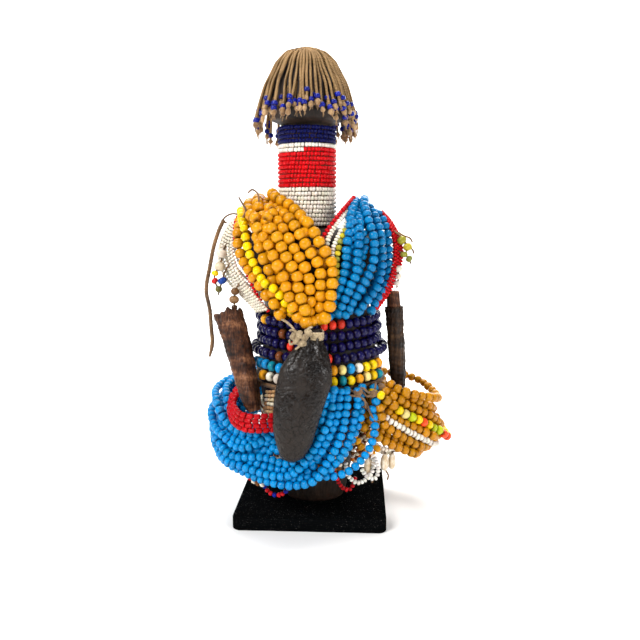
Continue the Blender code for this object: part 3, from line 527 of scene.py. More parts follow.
# thread packed between the rows, dark with wax and dust
waxed_fibre = fibre_finish("dark waxed thread", "#5A4029", "#1E150E", 900.0)
levels = np.linspace(NECK_FOOT + 0.4, NECK_FOOT + NECK_ROW_PITCH * row - 0.4, 40)
angle_grid, level_grid = np.meshgrid(np.arange(64) * 360 / 64, levels)
thread_skin = around(angle_grid, np.full_like(level_grid, NECK_RING - 0.4), level_grid)
placed(solid("neck_thread", thread_skin, closed_skins(1, *thread_skin.shape[:2]), [waxed_fibre]),
       "brown_cord")

# Wig of cords
# Twisted fibre cords gathered at the crown and hung in two layers, with small blue beads
# strung near their ends over an overhand knot and a frayed tip.

WIG_X, WIG_TOP, WIG_HEM, WIG_RADIUS = -5.0, 327.6, 257.6, 37.0
HEM_MIDDLE, HEM_TILT = 272.5, 9.5
WIG_PROFILE = np.array([(0.0, 0.10), (0.02, 0.24), (0.14, 0.54), (0.38, 0.79), (0.66, 0.95),
                        (1.0, 1.0)])
CORDS_OUTER, CORDS_INNER, CORD_RADIUS, CORD_STEPS, CORD_SIDES = 58, 30, 0.95, 104, 6
# the cords' twist is laid out over this length, a little more than the longest one's
CORD_LENGTH = 80.0

cords = CORDS_OUTER + CORDS_INNER
layer = np.repeat((0.0, 1.0), (CORDS_OUTER, CORDS_INNER))
turn = np.concatenate([np.arange(CORDS_OUTER) / CORDS_OUTER, np.arange(CORDS_INNER) / CORDS_INNER])
turn = turn * 360 + chance.uniform(-2.5, 2.5, cords)
hem = HEM_MIDDLE + HEM_TILT * np.cos(np.radians(turn)) + chance.uniform(-1, 9, cords) - 2 * layer
hem = np.maximum(hem, WIG_HEM + 3)
set_in = chance.uniform(0, 2.4, cords) + 3.0 * layer
lower = chance.uniform(0, 2.2, cords)
drift = chance.normal(0, 4.0, cords)
share = np.linspace(0, 1, CORD_STEPS)[None, :]
drop = share * (WIG_TOP - hem)[:, None]
reach = np.interp(drop / (WIG_TOP - WIG_HEM), WIG_PROFILE[:, 0], WIG_PROFILE[:, 1])
reach = 0.5 * (reach + np.interp(np.clip(drop / (WIG_TOP - WIG_HEM) + 0.05, 0, 1),
                                 WIG_PROFILE[:, 0], WIG_PROFILE[:, 1]))
radius = WIG_RADIUS * reach * np.minimum(share * 12, 1) ** 0.6 \
    - set_in[:, None] * np.minimum(share * 3, 1)
swing = np.radians(turn[:, None] + drift[:, None] * share ** 2
                   + 1.6 * np.sin(share * 7 + turn[:, None]) * share)
cord_paths = np.stack([WIG_X + radius * np.sin(swing), -radius * np.cos(swing),
                       WIG_TOP - drop - (1.1 * layer + lower)[:, None] * (1 - share) ** 0.5], -1)
beside = np.stack([np.cos(swing), np.sin(swing), np.zeros_like(swing)], -1)
ply = laid(CORD_RADIUS, CORD_STEPS, CORD_LENGTH, CORD_SIDES, 4.2)
wig_points, wig_faces = tubes(cord_paths, ply, CORD_SIDES, beside)

# each skin point's side as a cosine and sine, and its distance down the cord in millimetres
side = np.arange(CORD_SIDES) * 2 * math.pi / CORD_SIDES
down = (share * CORD_LENGTH)[..., None]
twist = np.stack(np.broadcast_arrays(np.cos(side), np.sin(side), down, 1.0), -1)
twist = np.broadcast_to(twist, (cords, CORD_STEPS, CORD_SIDES, 4)).reshape(-1, 4)

# two-ply plant-fibre cord: sun-bleached tan ridges that wind round it, painted shade darkening the grooves
# between them, and dusty patches
wig_fibre = new_finish("tan two-ply fibre cord")
turned = add_node(wig_fibre, "Attribute", attribute_name="twist")
parts = add_node(wig_fibre, "SeparateXYZ", [("Vector", turned, "Vector")])
# one turn of a ply in 3.6 mm, drawn a third coarser than the real cord's so that it shows
phase = add_node(wig_fibre, "Math", [(0, parts, "Z")], operation="MULTIPLY")
phase.inputs[1].default_value = 2 * math.pi / 3.6
up_part = add_node(wig_fibre, "Math", [(0, phase, "Value")], operation="SINE")
side_part = add_node(wig_fibre, "Math", [(0, phase, "Value")], operation="COSINE")
first_part = add_node(wig_fibre, "Math", [(0, up_part, "Value"), (1, parts, "X")],
                      operation="MULTIPLY")
wound = add_node(wig_fibre, "Math", [(0, side_part, "Value"), (1, parts, "Y"),
                                               (2, first_part, "Value")], operation="MULTIPLY_ADD")
ridge = add_node(wig_fibre, "Math", [(0, wound, "Value")], operation="ABSOLUTE")
place = add_node(wig_fibre, "TexCoord")
dusty = add_node(wig_fibre, "TexNoise", [("Vector", place, "Object")], Scale=90.0,
                 Detail=5.0, Roughness=0.7)
# painted shade: the colour falls to dark brown in the grooves between the plies, where the ridge value is
# zero, and dust darkens it in patches
groove_shade_and_dust = add_node(wig_fibre, "Math", [(0, ridge, "Value"), (1, dusty, "Fac")],
                operation="MULTIPLY")
wig_ramp = add_node(wig_fibre, "ValToRGB", [("Fac", groove_shade_and_dust, "Value")],
                    ((0.06, "#2E1C0E"), (0.44, "#BE9868")))
wig_bump = add_node(wig_fibre, "Bump", [("Height", ridge, "Value")], Strength=0.8,
                    Distance=0.0005)
shade(wig_fibre, [("Base Color", wig_ramp, "Color")], wig_bump, Roughness=0.88,
      Specular_IOR_Level=0.2)
# overhand knots in the same cord, rubbed paler and fluffed
knot_fibre = fibre_finish("tan fibre knot", "#C9A477", "#6A4A2C", 700.0)
placed(solid("wig_cords", wig_points, wig_faces, [wig_fibre], twist=twist), "wig_cord", "wig_of_cords")


def lumps(centres, ahead, across, length, sides=8, rings=7, seed=3):
    """Closed knots: an egg about each direction, its skin raised and sunk by crossed waves."""
    ahead = unit(ahead)
    lean = np.linspace(-0.97, 0.97, rings) * math.pi / 2
    turn = np.arange(sides) * 2 * math.pi / sides
    phase = (np.arange(len(centres)) * 2.4 + seed)[:, None, None]
    wave = 1 + 0.16 * np.sin(2 * turn[None, None, :] + 3 * lean[None, :, None] + phase)
    out = np.cos(lean)[None, :, None] * wave * np.broadcast_to(across, len(centres))[:, None, None] / 2
    far = np.sin(lean)[None, :, None] * np.broadcast_to(length, len(centres))[:, None, None] / 2
    points = centres[:, None, None, :] + ahead[:, None, None, :] * far[..., None] \
        + rings_round(ahead, sides)[:, None] * out[..., None]
    return points.reshape(-1, 3), closed_skins(len(centres), rings, sides)


tips, heading = cord_paths[:, -1], unit(cord_paths[:, -1] - cord_paths[:, -4])
knots = lumps(tips, heading, chance.uniform(2.9, 4.1, cords), chance.uniform(3.4, 5.0, cords))
frays = 4
fray_turn = chance.uniform(0, 2 * math.pi, (cords, frays))
fray_out = np.stack([np.cos(fray_turn), np.sin(fray_turn), np.zeros_like(fray_turn)], -1)
fray_run = np.linspace(0, 1, 5)[None, None, :, None] * chance.uniform(2.0, 5.0, (cords, frays, 1, 1))
fray_paths = tips[:, None, None, :] + heading[:, None, None, :] * (1.0 + fray_run) \
    + fray_out[:, :, None, :] * (0.3 + 0.03 * fray_run ** 2.0)
fray_skin = tubes(fray_paths.reshape(-1, 5, 3), 0.22, 3)
knot_points, knot_faces = joined(knots, fray_skin)
placed(solid("wig_knots", knot_points, knot_faces, [knot_fibre]), "wig_cord")

back_step = CORD_STEPS - 1 - np.round(chance.uniform(5, 16, cords)).astype(int)
bead_at = cord_paths[np.arange(cords), back_step]
bead_way = cord_paths[np.arange(cords), back_step] - cord_paths[np.arange(cords), back_step - 2]
strung("wig_beads", bead_at, bead_way, chance.uniform(3.9, 4.5, cords), 3.4,
       np.tile(linear("#141F86"), (cords, 1)), bead_glass, "navy_beads", [], 0.15, bore=0.35)

# Belt
# Rows of opaque glass beads wound tight round the waist: four navy rows with a few coral beads,
# and short mixed rows below them at the front.

BELT_TOP, BELT_ROW_PITCH, BELT_BEAD = 144.5, 7.6, 7.3
# the bead centres' distance from the wood, and how much higher the rows sit at the sides
BELT_LIFT, BELT_SWAG = 3.9, 2.6


def belt_row(level, start, end, colour_of):
    """Beads at even steps along the wood's own outline at one height, from one angle to another."""
    turn = np.linspace(start, end, 400)
    line = around(turn, section_radius(turn, np.full(400, level), BELT_LIFT), np.full(400, level))
    run = np.concatenate([[0], np.cumsum(np.linalg.norm(np.diff(line, axis=0), axis=1))])
    count = int(run[-1] / 5.7)
    at = np.interp((np.arange(count) + 0.5) / count * run[-1], run, turn)
    radius = section_radius(at, np.full(count, level), BELT_LIFT)
    z = level + BELT_SWAG * np.sin(np.radians(at)) ** 2 + chance.normal(0, 0.25, count)
    centres = around(at, radius + chance.normal(0, 0.15, count), z)
    ahead = around(at + 1, radius, z) - around(at - 1, radius, z)
    return centres, ahead, [colour_of(a) for a in at]


def mostly(common, *rare):
    """A colour rule by angle: the common colour, but a rare one within 3.6 degrees of its own."""
    def pick(angle):
        for place, colour in rare:
            if abs((angle - place + 180) % 360 - 180) < 3.6:
                return linear(colour)
        return linear(common)
    return pick


NAVY, CORAL, AMBER, LEMON, TEAL, SKY, CREAM = ("#100C42", "#E23A26", "#EDA01C", "#EFC80A",
                                               "#12889A", "#1290D0", "#EEE5D2")
belt_colours = [mostly(NAVY, (-56, AMBER), (6, CORAL), (14, CORAL), (22, CORAL)),
                mostly(NAVY, (-34, "#6A3A1E")), mostly(NAVY, (-26, CORAL)),
                mostly(NAVY, (-38, "#6A3A1E"), (12, CORAL))]
rows = [belt_row(BELT_TOP - BELT_ROW_PITCH * (k + 0.5), -180 + 40 * k, 180 + 40 * k, c)
        for k, c in enumerate(belt_colours)]
belt = [np.concatenate([np.asarray(r[part]) for r in rows]) for part in range(3)]
strung("belt_navy_rows", belt[0], belt[1], BELT_BEAD * (1 + chance.normal(0, 0.03, len(belt[0]))),
       5.5, belt[2], bead_glass, "navy_beads", ["belt_navy_beads"], 0.12)


def cycle(*colours):
    """A colour rule that goes round a list as the angle grows, one colour for each 8 degrees."""
    return lambda angle: linear(colours[int(angle // 8) % len(colours)])


STRAW = "#F6E08A"
# name, row counted down the belt, angles from and to, colours in turn, slot and solids
for name, level, start, end, colours, slot, nodes in (
        ("belt_turquoise_row", 4, -66, -14, (SKY, SKY, TEAL, SKY), "blue_beads",
         ["belt_turquoise_row"]),
        ("belt_white_row", 5, -62, -14, (CREAM, CREAM, AMBER), "white_beads", ["belt_white_row"]),
        ("belt_yellow_row", 4, -12, 64, (LEMON, AMBER, STRAW, SKY, CREAM, LEMON), "yellow_beads",
         ["belt_yellow_rows"]),
        ("belt_yellow_low_row", 5, -12, 64, (STRAW, LEMON, TEAL, LEMON, AMBER), "yellow_beads", [])):
    z = BELT_TOP - BELT_ROW_PITCH * (level + 0.5)
    centres, ahead, glass = belt_row(z, start, end, cycle(*colours))
    strung(name, centres, ahead, BELT_BEAD * (1 + chance.normal(0, 0.04, len(centres))), 5.4, glass,
           bead_glass, slot, nodes, 0.08)

# Bandoliers
# Many strings of beads tied together over each shoulder and tucked into the belt front and back:
# golden yellow over the left, sky blue over the right, cream and red seed strings outside them.

YELLOW_BEAD, BLUE_BEAD, SEED_BEAD = 8.3, 6.5, 2.9
# each string as points in millimetres from the belt up to the shoulder's ridge
YELLOW_STRINGS = [
    [(-16, -40, 148), (-27, -36, 158), (-36, -32, 168), (-43, -27, 176), (-49, -24, 187),
     (-51, -21, 198), (-51, -12, 208), (-50, 0, 214)],
    [(-6, -43, 148), (-16, -42, 158), (-26, -39, 169), (-34, -35, 178), (-41, -32, 191),
     (-44, -28, 203), (-46, -17, 211), (-46, 0, 216)],
    [(-20, -40, 148), (-24, -41, 160), (-28, -40, 173), (-31, -38, 185), (-35, -35, 196),
     (-39, -29, 207), (-43, -12, 215), (-43, 0, 218)],
    [(-5, -47, 144), (-12, -46, 161), (-17, -44, 176), (-22, -42, 187), (-27, -39, 198),
     (-32, -32, 208), (-39, -14, 218), (-40, 0, 220)],
    [(3, -48, 143), (2, -48, 158), (-1, -47, 173), (-5, -45, 185), (-12, -43, 196),
     (-20, -38, 206), (-30, -26, 216), (-37, 0, 222)],
    [(-1, -48, 143), (-5, -47, 159), (-6, -45, 174), (-13, -44, 183), (-19, -41, 195),
     (-25, -36, 206), (-34, -20, 217), (-38, 0, 221)],
    [(7, -47, 143), (8, -47, 163), (7, -45, 180), (0, -44, 191), (-7, -41, 202),
     (-14, -35, 211), (-24, -19, 220), (-33, 0, 224)],
    [(10, -46, 144), (13, -44, 163), (15, -41, 181), (8, -40, 193), (1, -37, 204),
     (-6, -31, 213), (-16, -20, 220), (-29, 0, 225)]]
BLUE_STRINGS = [
    [(13, -42, 147), (20, -43, 164), (24, -41, 180), (25, -39, 195), (27, -34, 206),
     (29, -23, 216), (32, 0, 223)],
    [(18, -42, 147), (25, -43, 163), (31, -42, 175), (32, -40, 188), (33, -38, 198),
     (33, -32, 208), (34, -15, 218), (35, 0, 222)],
    [(24, -41, 148), (34, -39, 166), (42, -34, 181), (43, -31, 196), (41, -29, 205),
     (37, -24, 214), (35, -10, 221), (36, 0, 222)],
    [(31, -37, 148), (39, -33, 157), (46, -28, 167), (49, -26, 182), (48, -24, 196),
     (46, -20, 207), (42, -8, 217), (39, 0, 220)],
    [(41, -26, 148), (48, -18, 160), (53, -12, 170), (54, -10, 184), (53, -8, 200),
     (49, -4, 212), (44, 0, 216)]]
CREAM_STRINGS = [
    [(-37, -28, 148), (-46, -20, 156), (-57, -13, 165), (-64, -8, 174), (-67, -5, 185),
     (-65, -4, 196), (-60, -2, 206), (-54, 0, 212)],
    [(-29, -35, 150), (-37, -31, 158), (-46, -25, 168), (-53, -19, 180), (-56, -15, 192),
     (-54, -10, 204), (-47, 0, 217)]]
RED_STRINGS = [
    [(44, -24, 150), (51, -17, 162), (56, -13, 175), (58, -11, 188), (57, -9, 198), (54, -6, 207),
     (49, 0, 216)],
    [(46, -20, 150), (55, -11, 162), (61, -8, 176), (63, -6, 188), (61, -5, 198), (57, -3, 206),
     (53, 0, 212)]]
LEFT_RED_STRING = [(-28, -34, 149), (-34, -31, 156), (-41, -27, 168), (-48, -20, 182),
                   (-53, -16, 196), (-54, -9, 208), (-51, 0, 216)]


def both_sides(front):
    """A string over the shoulder: its front points, then the same points mirrored to the back."""
    front = np.asarray(front, float)
    back = front[-2::-1] * (1, -1, 1)
    return np.concatenate([front, back])


def between(first, second, share, steps=200):
    """A string that runs between two others, at a share of the way across at every step."""
    a, b = smooth_path(first, steps), smooth_path(second, steps)
    return a + (b - a) * share


def beads_on(points, pitch, uneven=0.06):
    """Bead centres one pitch apart along a string, the first a random part of a pitch from its end."""
    size, start = length_of(points), chance.uniform(0, 0.6) * pitch
    fine = smooth_path(points, 400)
    steps = pitch * np.clip(chance.normal(1, uneven, int(size / pitch) + 2), 0.85, 1.15)
    at = start + np.cumsum(steps) - steps[0]
    at = at[at < size - 0.3 * pitch] / size * 399
    return read_off(at, np.arange(400), fine)


def deeper(points, depth):
    """A string moved towards the wood by a depth."""
    points = np.asarray(points, float)
    return points - wood_gap(points)[1] * depth


def settled(strings, sizes, cover=0.0, rounds=130, press=0.02, hold=0.05, floor=None):
    """Let strings of beads find their rest: each bead is drawn to its place and pressed to the wood,
    kept its pitch from its neighbours on the string, and pushed off other beads and the wood."""
    counts = np.array([len(s) for s in strings])
    place = np.concatenate(strings)
    radii = np.repeat(np.asarray(sizes, float) / 2, counts)
    string_of = np.repeat(np.arange(len(strings)), counts)
    order = np.arange(len(place)) - np.repeat(np.cumsum(counts) - counts, counts)
    link = np.flatnonzero(string_of[1:] == string_of[:-1])
    rest = np.linalg.norm(place[link + 1] - place[link], axis=1)
    free = np.ones((len(place), 1))
    free[(order == 0) | (order == np.repeat(counts, counts) - 1)] = 0.0
    now = place.copy()
    for turn in range(rounds):
        if turn % 10 == 0:
            square = (now ** 2).sum(1)
            apart = square[:, None] + square[None, :] - 2 * now @ now.T
            near = apart < (radii[:, None] + radii[None, :] + 2.5) ** 2
            a, b = np.nonzero(np.triu(near, 1))
            same = (string_of[a] == string_of[b]) & (np.abs(order[a] - order[b]) < 2)
            a, b = a[~same], b[~same]
        move = (place - now) * hold - wood_gap(now, cover)[1] * press
        pull = now[link + 1] - now[link]
        span = np.linalg.norm(pull, axis=1, keepdims=True)
        pull *= 0.35 * (1 - rest[:, None] / np.maximum(span, 1e-6))
        np.add.at(move, link, pull)
        np.add.at(move, link + 1, -pull)
        push = now[b] - now[a]
        span = np.linalg.norm(push, axis=1, keepdims=True)
        short = np.maximum((radii[a] + radii[b])[:, None] - span, 0)
        push *= 0.42 * short / np.maximum(span, 1e-6)
        np.add.at(move, a, -push)
        np.add.at(move, b, push)
        now += move * free
        gap, out = wood_gap(now, cover)
        now += out * np.maximum(radii - gap, 0)[:, None] * free
        if floor is not None:
            now[:, 2] = np.maximum(now[:, 2], floor)
    return np.split(now, np.cumsum(counts)[:-1])


def string_beads(name, strings, size, length, colours, finish, slot, nodes, spread=0.06, **shape):
    """Beads of several settled strings as one piece, each turned along its string."""
    ahead = np.concatenate([np.gradient(s, axis=0) for s in strings])
    room = np.concatenate([np.linalg.norm(np.gradient(s, axis=0), axis=1) for s in strings])
    room = np.clip(room / np.median(room), 0.8, 1.2)
    centres = np.concatenate(strings)
    tilt = unit(ahead) + chance.normal(0, 0.06, centres.shape)
    across = size * room ** 0.5 * (1 + chance.normal(0, 0.03, len(centres)))
    strung(name, centres, tilt, across, length * room, colours, finish, slot, nodes, spread, **shape)


THREAD_RADIUS = 0.35


def threads(name, strings):
    """Threads through the bores: one thin tube a string, through its beads' centres."""
    skins = [tubes(smooth_path(s, 3 * len(s))[None], THREAD_RADIUS, 4) for s in strings]
    points, faces = joined(*skins)
    placed(solid(name, points, faces, [waxed_fibre]), "brown_cord")


# every other string rides over its neighbours
upper = [deeper(both_sides(s), (0.6, -2.6)[k % 2]) for k, s in enumerate(YELLOW_STRINGS)]
under_pairs = ((2, 3, 0.5), (3, 5, 0.5), (6, 7, 0.5))
under = [deeper(between(upper[a], upper[b], s), 7.4) for a, b, s in under_pairs]
yellow = [beads_on(s, 5.9 if k == 1 else 7.5) for k, s in enumerate(upper)]
yellow_under = [beads_on(s, 7.5) for s in under]
blue_upper = [both_sides(s) for s in BLUE_STRINGS]
blue_under = [deeper(between(blue_upper[a], blue_upper[b], 0.5), 5.4)
              for a, b in ((0, 1), (1, 2), (2, 3), (3, 4))]
blue = [beads_on(s, 5.3) for s in blue_upper]
blue_under = [beads_on(s, 5.3) for s in blue_under]
cream_upper = [both_sides(s) for s in CREAM_STRINGS]
cream = [beads_on(between(*cream_upper, s), 2.35, 0.02) for s in (0.0, 0.25, 0.5, 0.75, 1.0)]
red_upper = [both_sides(s) for s in RED_STRINGS]
red = [beads_on(between(*red_upper, s), 2.4, 0.02) for s in (0.0, 0.33, 0.67, 1.0)]
red.append(beads_on(both_sides(LEFT_RED_STRING), 2.4))
# only the large top strings settle: the fine seed strings lie side by side where they are tied, and
# the strings underneath stay back in the shadow between the top ones
sizes = [YELLOW_BEAD - 0.3] * len(yellow) + [BLUE_BEAD - 0.2] * len(blue)
rested = settled(yellow + blue, sizes)
yellow, blue = rested[:len(yellow)] + yellow_under, rested[len(yellow):] + blue_under


def plain(strings, colour):
    """The same colour for every bead of some strings."""
    return np.tile(linear(colour), (sum(len(s) for s in strings), 1))


# a seed bead is small, so it has fewer faces than a trade bead
SEED_SHAPE = {"sides": 8, "rings": 5}
# name, strings, bead across and along the thread, colour, glass, slot, solids and shape
for name, strings, across, length, colour, glass, slot, nodes, shape in (
        ("yellow_strings", yellow[:1] + yellow[2:], YELLOW_BEAD, 7.7, "#D6910E", bead_glass,
         "yellow_beads", ["yellow_bandolier"], {}),
        ("lemon_string", yellow[1:2], YELLOW_BEAD * 0.78, 6.1, "#F2CB00", bead_glass,
         "yellow_beads", [], {}),
        ("blue_strings", blue, BLUE_BEAD, 5.45, "#0076B0", bead_glass, "blue_beads",
         ["blue_bandolier"], {}),
        ("cream_strings", cream, SEED_BEAD, 2.2, "#EDE3D0", seed_glass, "white_beads",
         ["white_seed_bandolier"], SEED_SHAPE),
        ("red_strings", red, SEED_BEAD, 2.2, "#C40C14", seed_glass, "red_beads",
         ["red_seed_bandolier"], SEED_SHAPE)):
    string_beads(name, strings, across, length, plain(strings, colour), glass, slot, nodes, **shape)
threads("bandolier_threads", yellow + blue + cream + red)

# Strings at the throat
# Between the two bandoliers a red tube string, two cream seed strings and one of olive glass
# come off the right shoulder and go under the yellow beads.

THROAT_STRINGS = (
    ("red_throat", [(29, -6, 226), (24, -20, 220), (19, -29, 214), (14, -34, 207), (9, -37, 200),
                    (6, -39, 193)], 3.4, 2.8, ("#C5101A",), "red_beads"),
    ("cream_throat_upper", [(27, -15, 219), (22, -27, 213), (17, -33, 207), (13, -37, 200),
                            (11, -39, 192)], 3.6, 2.3, ("#EEE5D4",), "white_beads"),
    ("cream_throat_lower", [(27, -22, 213), (23, -30, 207), (19, -35, 200), (16, -38, 193),
                            (15, -40, 185)], 3.6, 2.3, ("#EEE5D4",), "white_beads"),
    ("olive_throat", [(24, -32, 205), (21, -36, 198), (19, -39, 190), (18, -40, 181),
                      (19, -41, 172), (19, -42, 163)], 4.6, 4.0, ("#A8992E", "#C9B82F", "#8D8A3A"),
     "yellow_beads"))


def pattern(count, hex_colours):
    """One of the given colours a bead, in turn."""
    colours = np.array([linear(c) for c in hex_colours])
    return colours[np.arange(count) % len(colours)]


SHORT_SHAPE = {"sides": 9, "rings": 6}


def short_string(name, points, room, across, length, hex_colours, slot, nodes=()):
    """One short string of small beads, its colours in turn; room is a bead's share of the string
    over its own length."""
    beads = beads_on(points, length * room)
    string_beads(name, [beads], across, length, pattern(len(beads), hex_colours), seed_glass, slot,
                 nodes, 0.08, **SHORT_SHAPE)


for name, points, *rest in THROAT_STRINGS:
    short_string(name, points, 1.04, *rest)

# Hip strings
# A deep skirt of bead strings looped from the waist tie, round the hips and back to the tie:
# sky blue at the front and left, a fan of yellow ones thrown out to the right.

HIP_BEAD, FAN_BEAD = 6.0, 6.8
# angle from the front, distance from the axis, and height of each point, in degrees and mm
BLUE_LOOPS = [
    [(-150, 50, 98), (-125, 60, 96), (-104, 68, 92), (-86, 75, 88), (-68, 76, 84), (-61, 75, 77),
     (-56, 71, 70), (-48, 66, 67), (-39, 60, 67), (-30, 54, 68), (-11, 51, 76), (3, 50, 87),
     (10, 50, 99)],
    [(-135, 49, 98), (-110, 60, 94), (-88, 67, 90), (-72, 68, 86), (-66, 68, 79), (-57, 66, 73),
     (-46, 62, 71), (-35, 56, 72), (-20, 52, 79), (-6, 49, 90), (0, 48, 99)],
    [(-160, 50, 92), (-130, 62, 86), (-104, 72, 81), (-84, 78, 74), (-70, 77, 66), (-58, 74, 62),
     (-50, 70, 57), (-42, 67, 58), (-35, 60, 63), (-23, 53, 75), (-7, 50, 85), (4, 49, 98)],
    [(-165, 51, 86), (-130, 66, 78), (-98, 76, 70), (-74, 77, 62), (-59, 74, 53), (-51, 70, 49),
     (-44, 65, 50), (-33, 60, 51), (-21, 58, 49), (-12, 58, 51), (-3, 58, 60), (4, 58, 70),
     (9, 56, 81), (13, 52, 98)],
    [(-168, 52, 78), (-132, 66, 68), (-100, 75, 60), (-76, 76, 55), (-62, 75, 49), (-53, 72, 45),
     (-43, 66, 43), (-34, 63, 42), (-26, 62, 41), (-17, 61, 41), (-10, 61, 45), (-4, 61, 53),
     (2, 60, 64), (8, 58, 77), (14, 52, 99)],
    [(-170, 53, 70), (-136, 64, 60), (-104, 71, 52), (-78, 73, 46), (-58, 71, 42), (-41, 65, 39),
     (-30, 62, 36), (-20, 61, 35), (-12, 60, 35), (-3, 60, 37), (5, 60, 43), (11, 60, 52),
     (17, 60, 66), (21, 58, 78), (24, 52, 99)],
    [(14, 52, 99), (9, 56, 86), (7, 58, 75), (4, 58, 63), (-2, 57, 55), (-12, 56, 50),
     (-24, 56, 48), (-38, 60, 50), (-56, 66, 56), (-80, 68, 64), (-110, 60, 74), (-140, 52, 84)],
    [(20, 52, 99), (17, 55, 89), (13, 58, 77), (8, 59, 67), (3, 58, 57), (-7, 57, 49),
     (-20, 57, 44), (-38, 62, 45), (-60, 68, 52), (-86, 70, 60), (-116, 60, 70), (-146, 52, 80)],
    [(33, 52, 99), (32, 54, 87), (28, 56, 76), (25, 58, 66), (19, 59, 55), (11, 58, 46),
     (0, 57, 41), (-14, 57, 39), (-32, 58, 40), (-54, 64, 44), (-80, 66, 52), (-112, 58, 62)],
    [(39, 50, 99), (36, 53, 80), (31, 55, 70), (24, 56, 58), (16, 56, 49), (6, 55, 43),
     (-8, 54, 41), (-26, 55, 42), (-50, 60, 48), (-80, 62, 58)]]
SINGLE_LOOP = [(52, 50, 99), (48, 55, 84), (43, 61, 71), (39, 62, 60), (32, 61, 50), (24, 60, 44),
               (14, 58, 41), (4, 56, 42)]
RED_EDGES = [
    [(-71, 61, 91), (-69, 65, 86), (-63, 68, 79), (-48, 72, 74), (-37, 71, 72.5), (-28, 63, 72.5),
     (-19, 54, 73)],
    [(-65, 59, 94), (-62, 63, 89), (-57, 67, 85), (-45, 71, 82.5), (-36, 70, 82), (-28, 62, 82),
     (-19, 53, 82)]]
# front half of each loop of the yellow fan, from the tie out to its tip; the back half mirrors it
FAN_LOOPS = [
    [(66, 50, 96), (64, 60, 93), (68, 72, 91), (76, 83, 87), (86, 87, 83), (94, 88, 81)],
    [(49, 50, 94), (50, 55, 91), (56, 61, 86), (64, 68, 77), (73, 76, 70), (81, 85, 62),
     (87, 94, 54), (94, 96, 52)],
    [(56, 54, 95), (63, 61, 90), (71, 69, 83), (79, 79, 75), (87, 88, 65), (94, 92, 60)],
    [(50, 50, 90), (50, 58, 78), (57, 64, 68), (62, 68, 63), (68, 73, 57), (76, 79, 50),
     (94, 82, 48)],
    [(37, 50, 76), (44, 56, 66), (50, 60, 63), (56, 64, 58), (64, 70, 52), (74, 76, 48),
     (94, 76, 47)],
    [(54, 52, 88), (58, 60, 78), (66, 69, 70), (73, 77, 63), (80, 86, 55), (94, 90, 51)],
    [(62, 50, 96), (68, 60, 89), (76, 70, 81), (84, 80, 73), (94, 84, 68)]]
CREAM_FAN = [(50, 52, 84), (56, 62, 74), (62, 68, 69), (69, 74, 63), (76, 82, 56), (84, 88, 51),
             (94, 88, 50)]
FAN_MIDDLE = 94


def hung(points):
    """Places of points given as angle from the front, distance from the axis and height."""
    angle, radius, z = np.asarray(points, float).T
    return around(angle, radius, z)


def fanned(points, sag=0.0):
    """A whole loop: its front half, then the same points mirrored about the fan's middle angle,
    a sine's half wave lower so that the back of the loop hangs behind its front."""
    front = np.asarray(points, float)
    back = front[-2::-1] * (-1, 1, 1) + (2 * FAN_MIDDLE, 0, 0)
    back[:, 2] -= sag * np.sin(np.linspace(0, math.pi, len(back)))
    return hung(np.concatenate([front, back]))


hip_blue = [beads_on(hung(s), 5.2) for s in BLUE_LOOPS]
loop_paths = [hung(s) for s in BLUE_LOOPS]
inner = [between(loop_paths[a], loop_paths[b], 0.5)
         for a, b in ((0, 2), (1, 2), (2, 3), (3, 4), (4, 5), (5, 6), (6, 7), (7, 8))]
leaning = [lean_at(p[:, 2])[:, None] * (1, 0, 0) for p in inner]
hip_under = [beads_on((p - a) * (0.92, 0.92, 1) + a, 5.2) for p, a in zip(inner, leaning)]
INNER_LOOPS = [
    [(-150, 48, 88), (-125, 56, 84), (-100, 62, 80), (-80, 66, 76), (-66, 68, 71), (-56, 67, 66),
     (-48, 64, 63), (-40, 59, 63), (-30, 54, 66), (-20, 51, 71), (-8, 49, 79)],
    [(-146, 48, 74), (-120, 58, 69), (-96, 64, 65), (-74, 67, 61), (-58, 66, 57), (-46, 62, 55),
     (-36, 57, 56), (-26, 54, 59), (-14, 53, 63), (-2, 52, 70)],
    [(-140, 50, 80), (-112, 62, 75), (-88, 69, 70), (-70, 72, 66), (-60, 71, 63), (-50, 68, 61),
     (-42, 63, 60), (-32, 57, 62), (-20, 53, 67), (-8, 51, 75)]]
hip_under += [beads_on(hung(s), 5.2) for s in INNER_LOOPS]
single = [beads_on(hung(SINGLE_LOOP), 5.2)]
hip_yellow = [beads_on(fanned(f, 0 if k == 0 else 9), 6.0) for k, f in enumerate(FAN_LOOPS)]
fan_paths = [fanned(f, 9) for f in FAN_LOOPS]
hip_yellow += [beads_on(between(fan_paths[a], fan_paths[b], 0.5) * (0.94, 0.94, 1), 6.0)
               for a, b in ((0, 2), (2, 5), (5, 3), (3, 4), (1, 6))]
cream_fan = [beads_on(fanned(CREAM_FAN, 6), 3.6)]
red_edges = [hung(s) for s in RED_EDGES]
hip_red = [beads_on(between(*red_edges, s), 4.9) for s in (0.0, 0.33, 0.67, 1.0)]
groups = [hip_blue, single, hip_yellow, cream_fan]
sizes = [HIP_BEAD - 0.5] * (len(hip_blue) + 1) + [FAN_BEAD - 0.4] * len(hip_yellow) + [4.6]
rested = settled([s for g in groups for s in g], sizes, cover=5.0, press=0.02, hold=0.04,
                 floor=FOOT_Z + 14)
ends = np.cumsum([len(g) for g in groups])[:-1]
hip_blue, single = rested[:ends[0]] + hip_under, rested[ends[0]:ends[1]]
hip_yellow, cream_fan = rested[ends[1]:ends[2]], rested[ends[2]:]

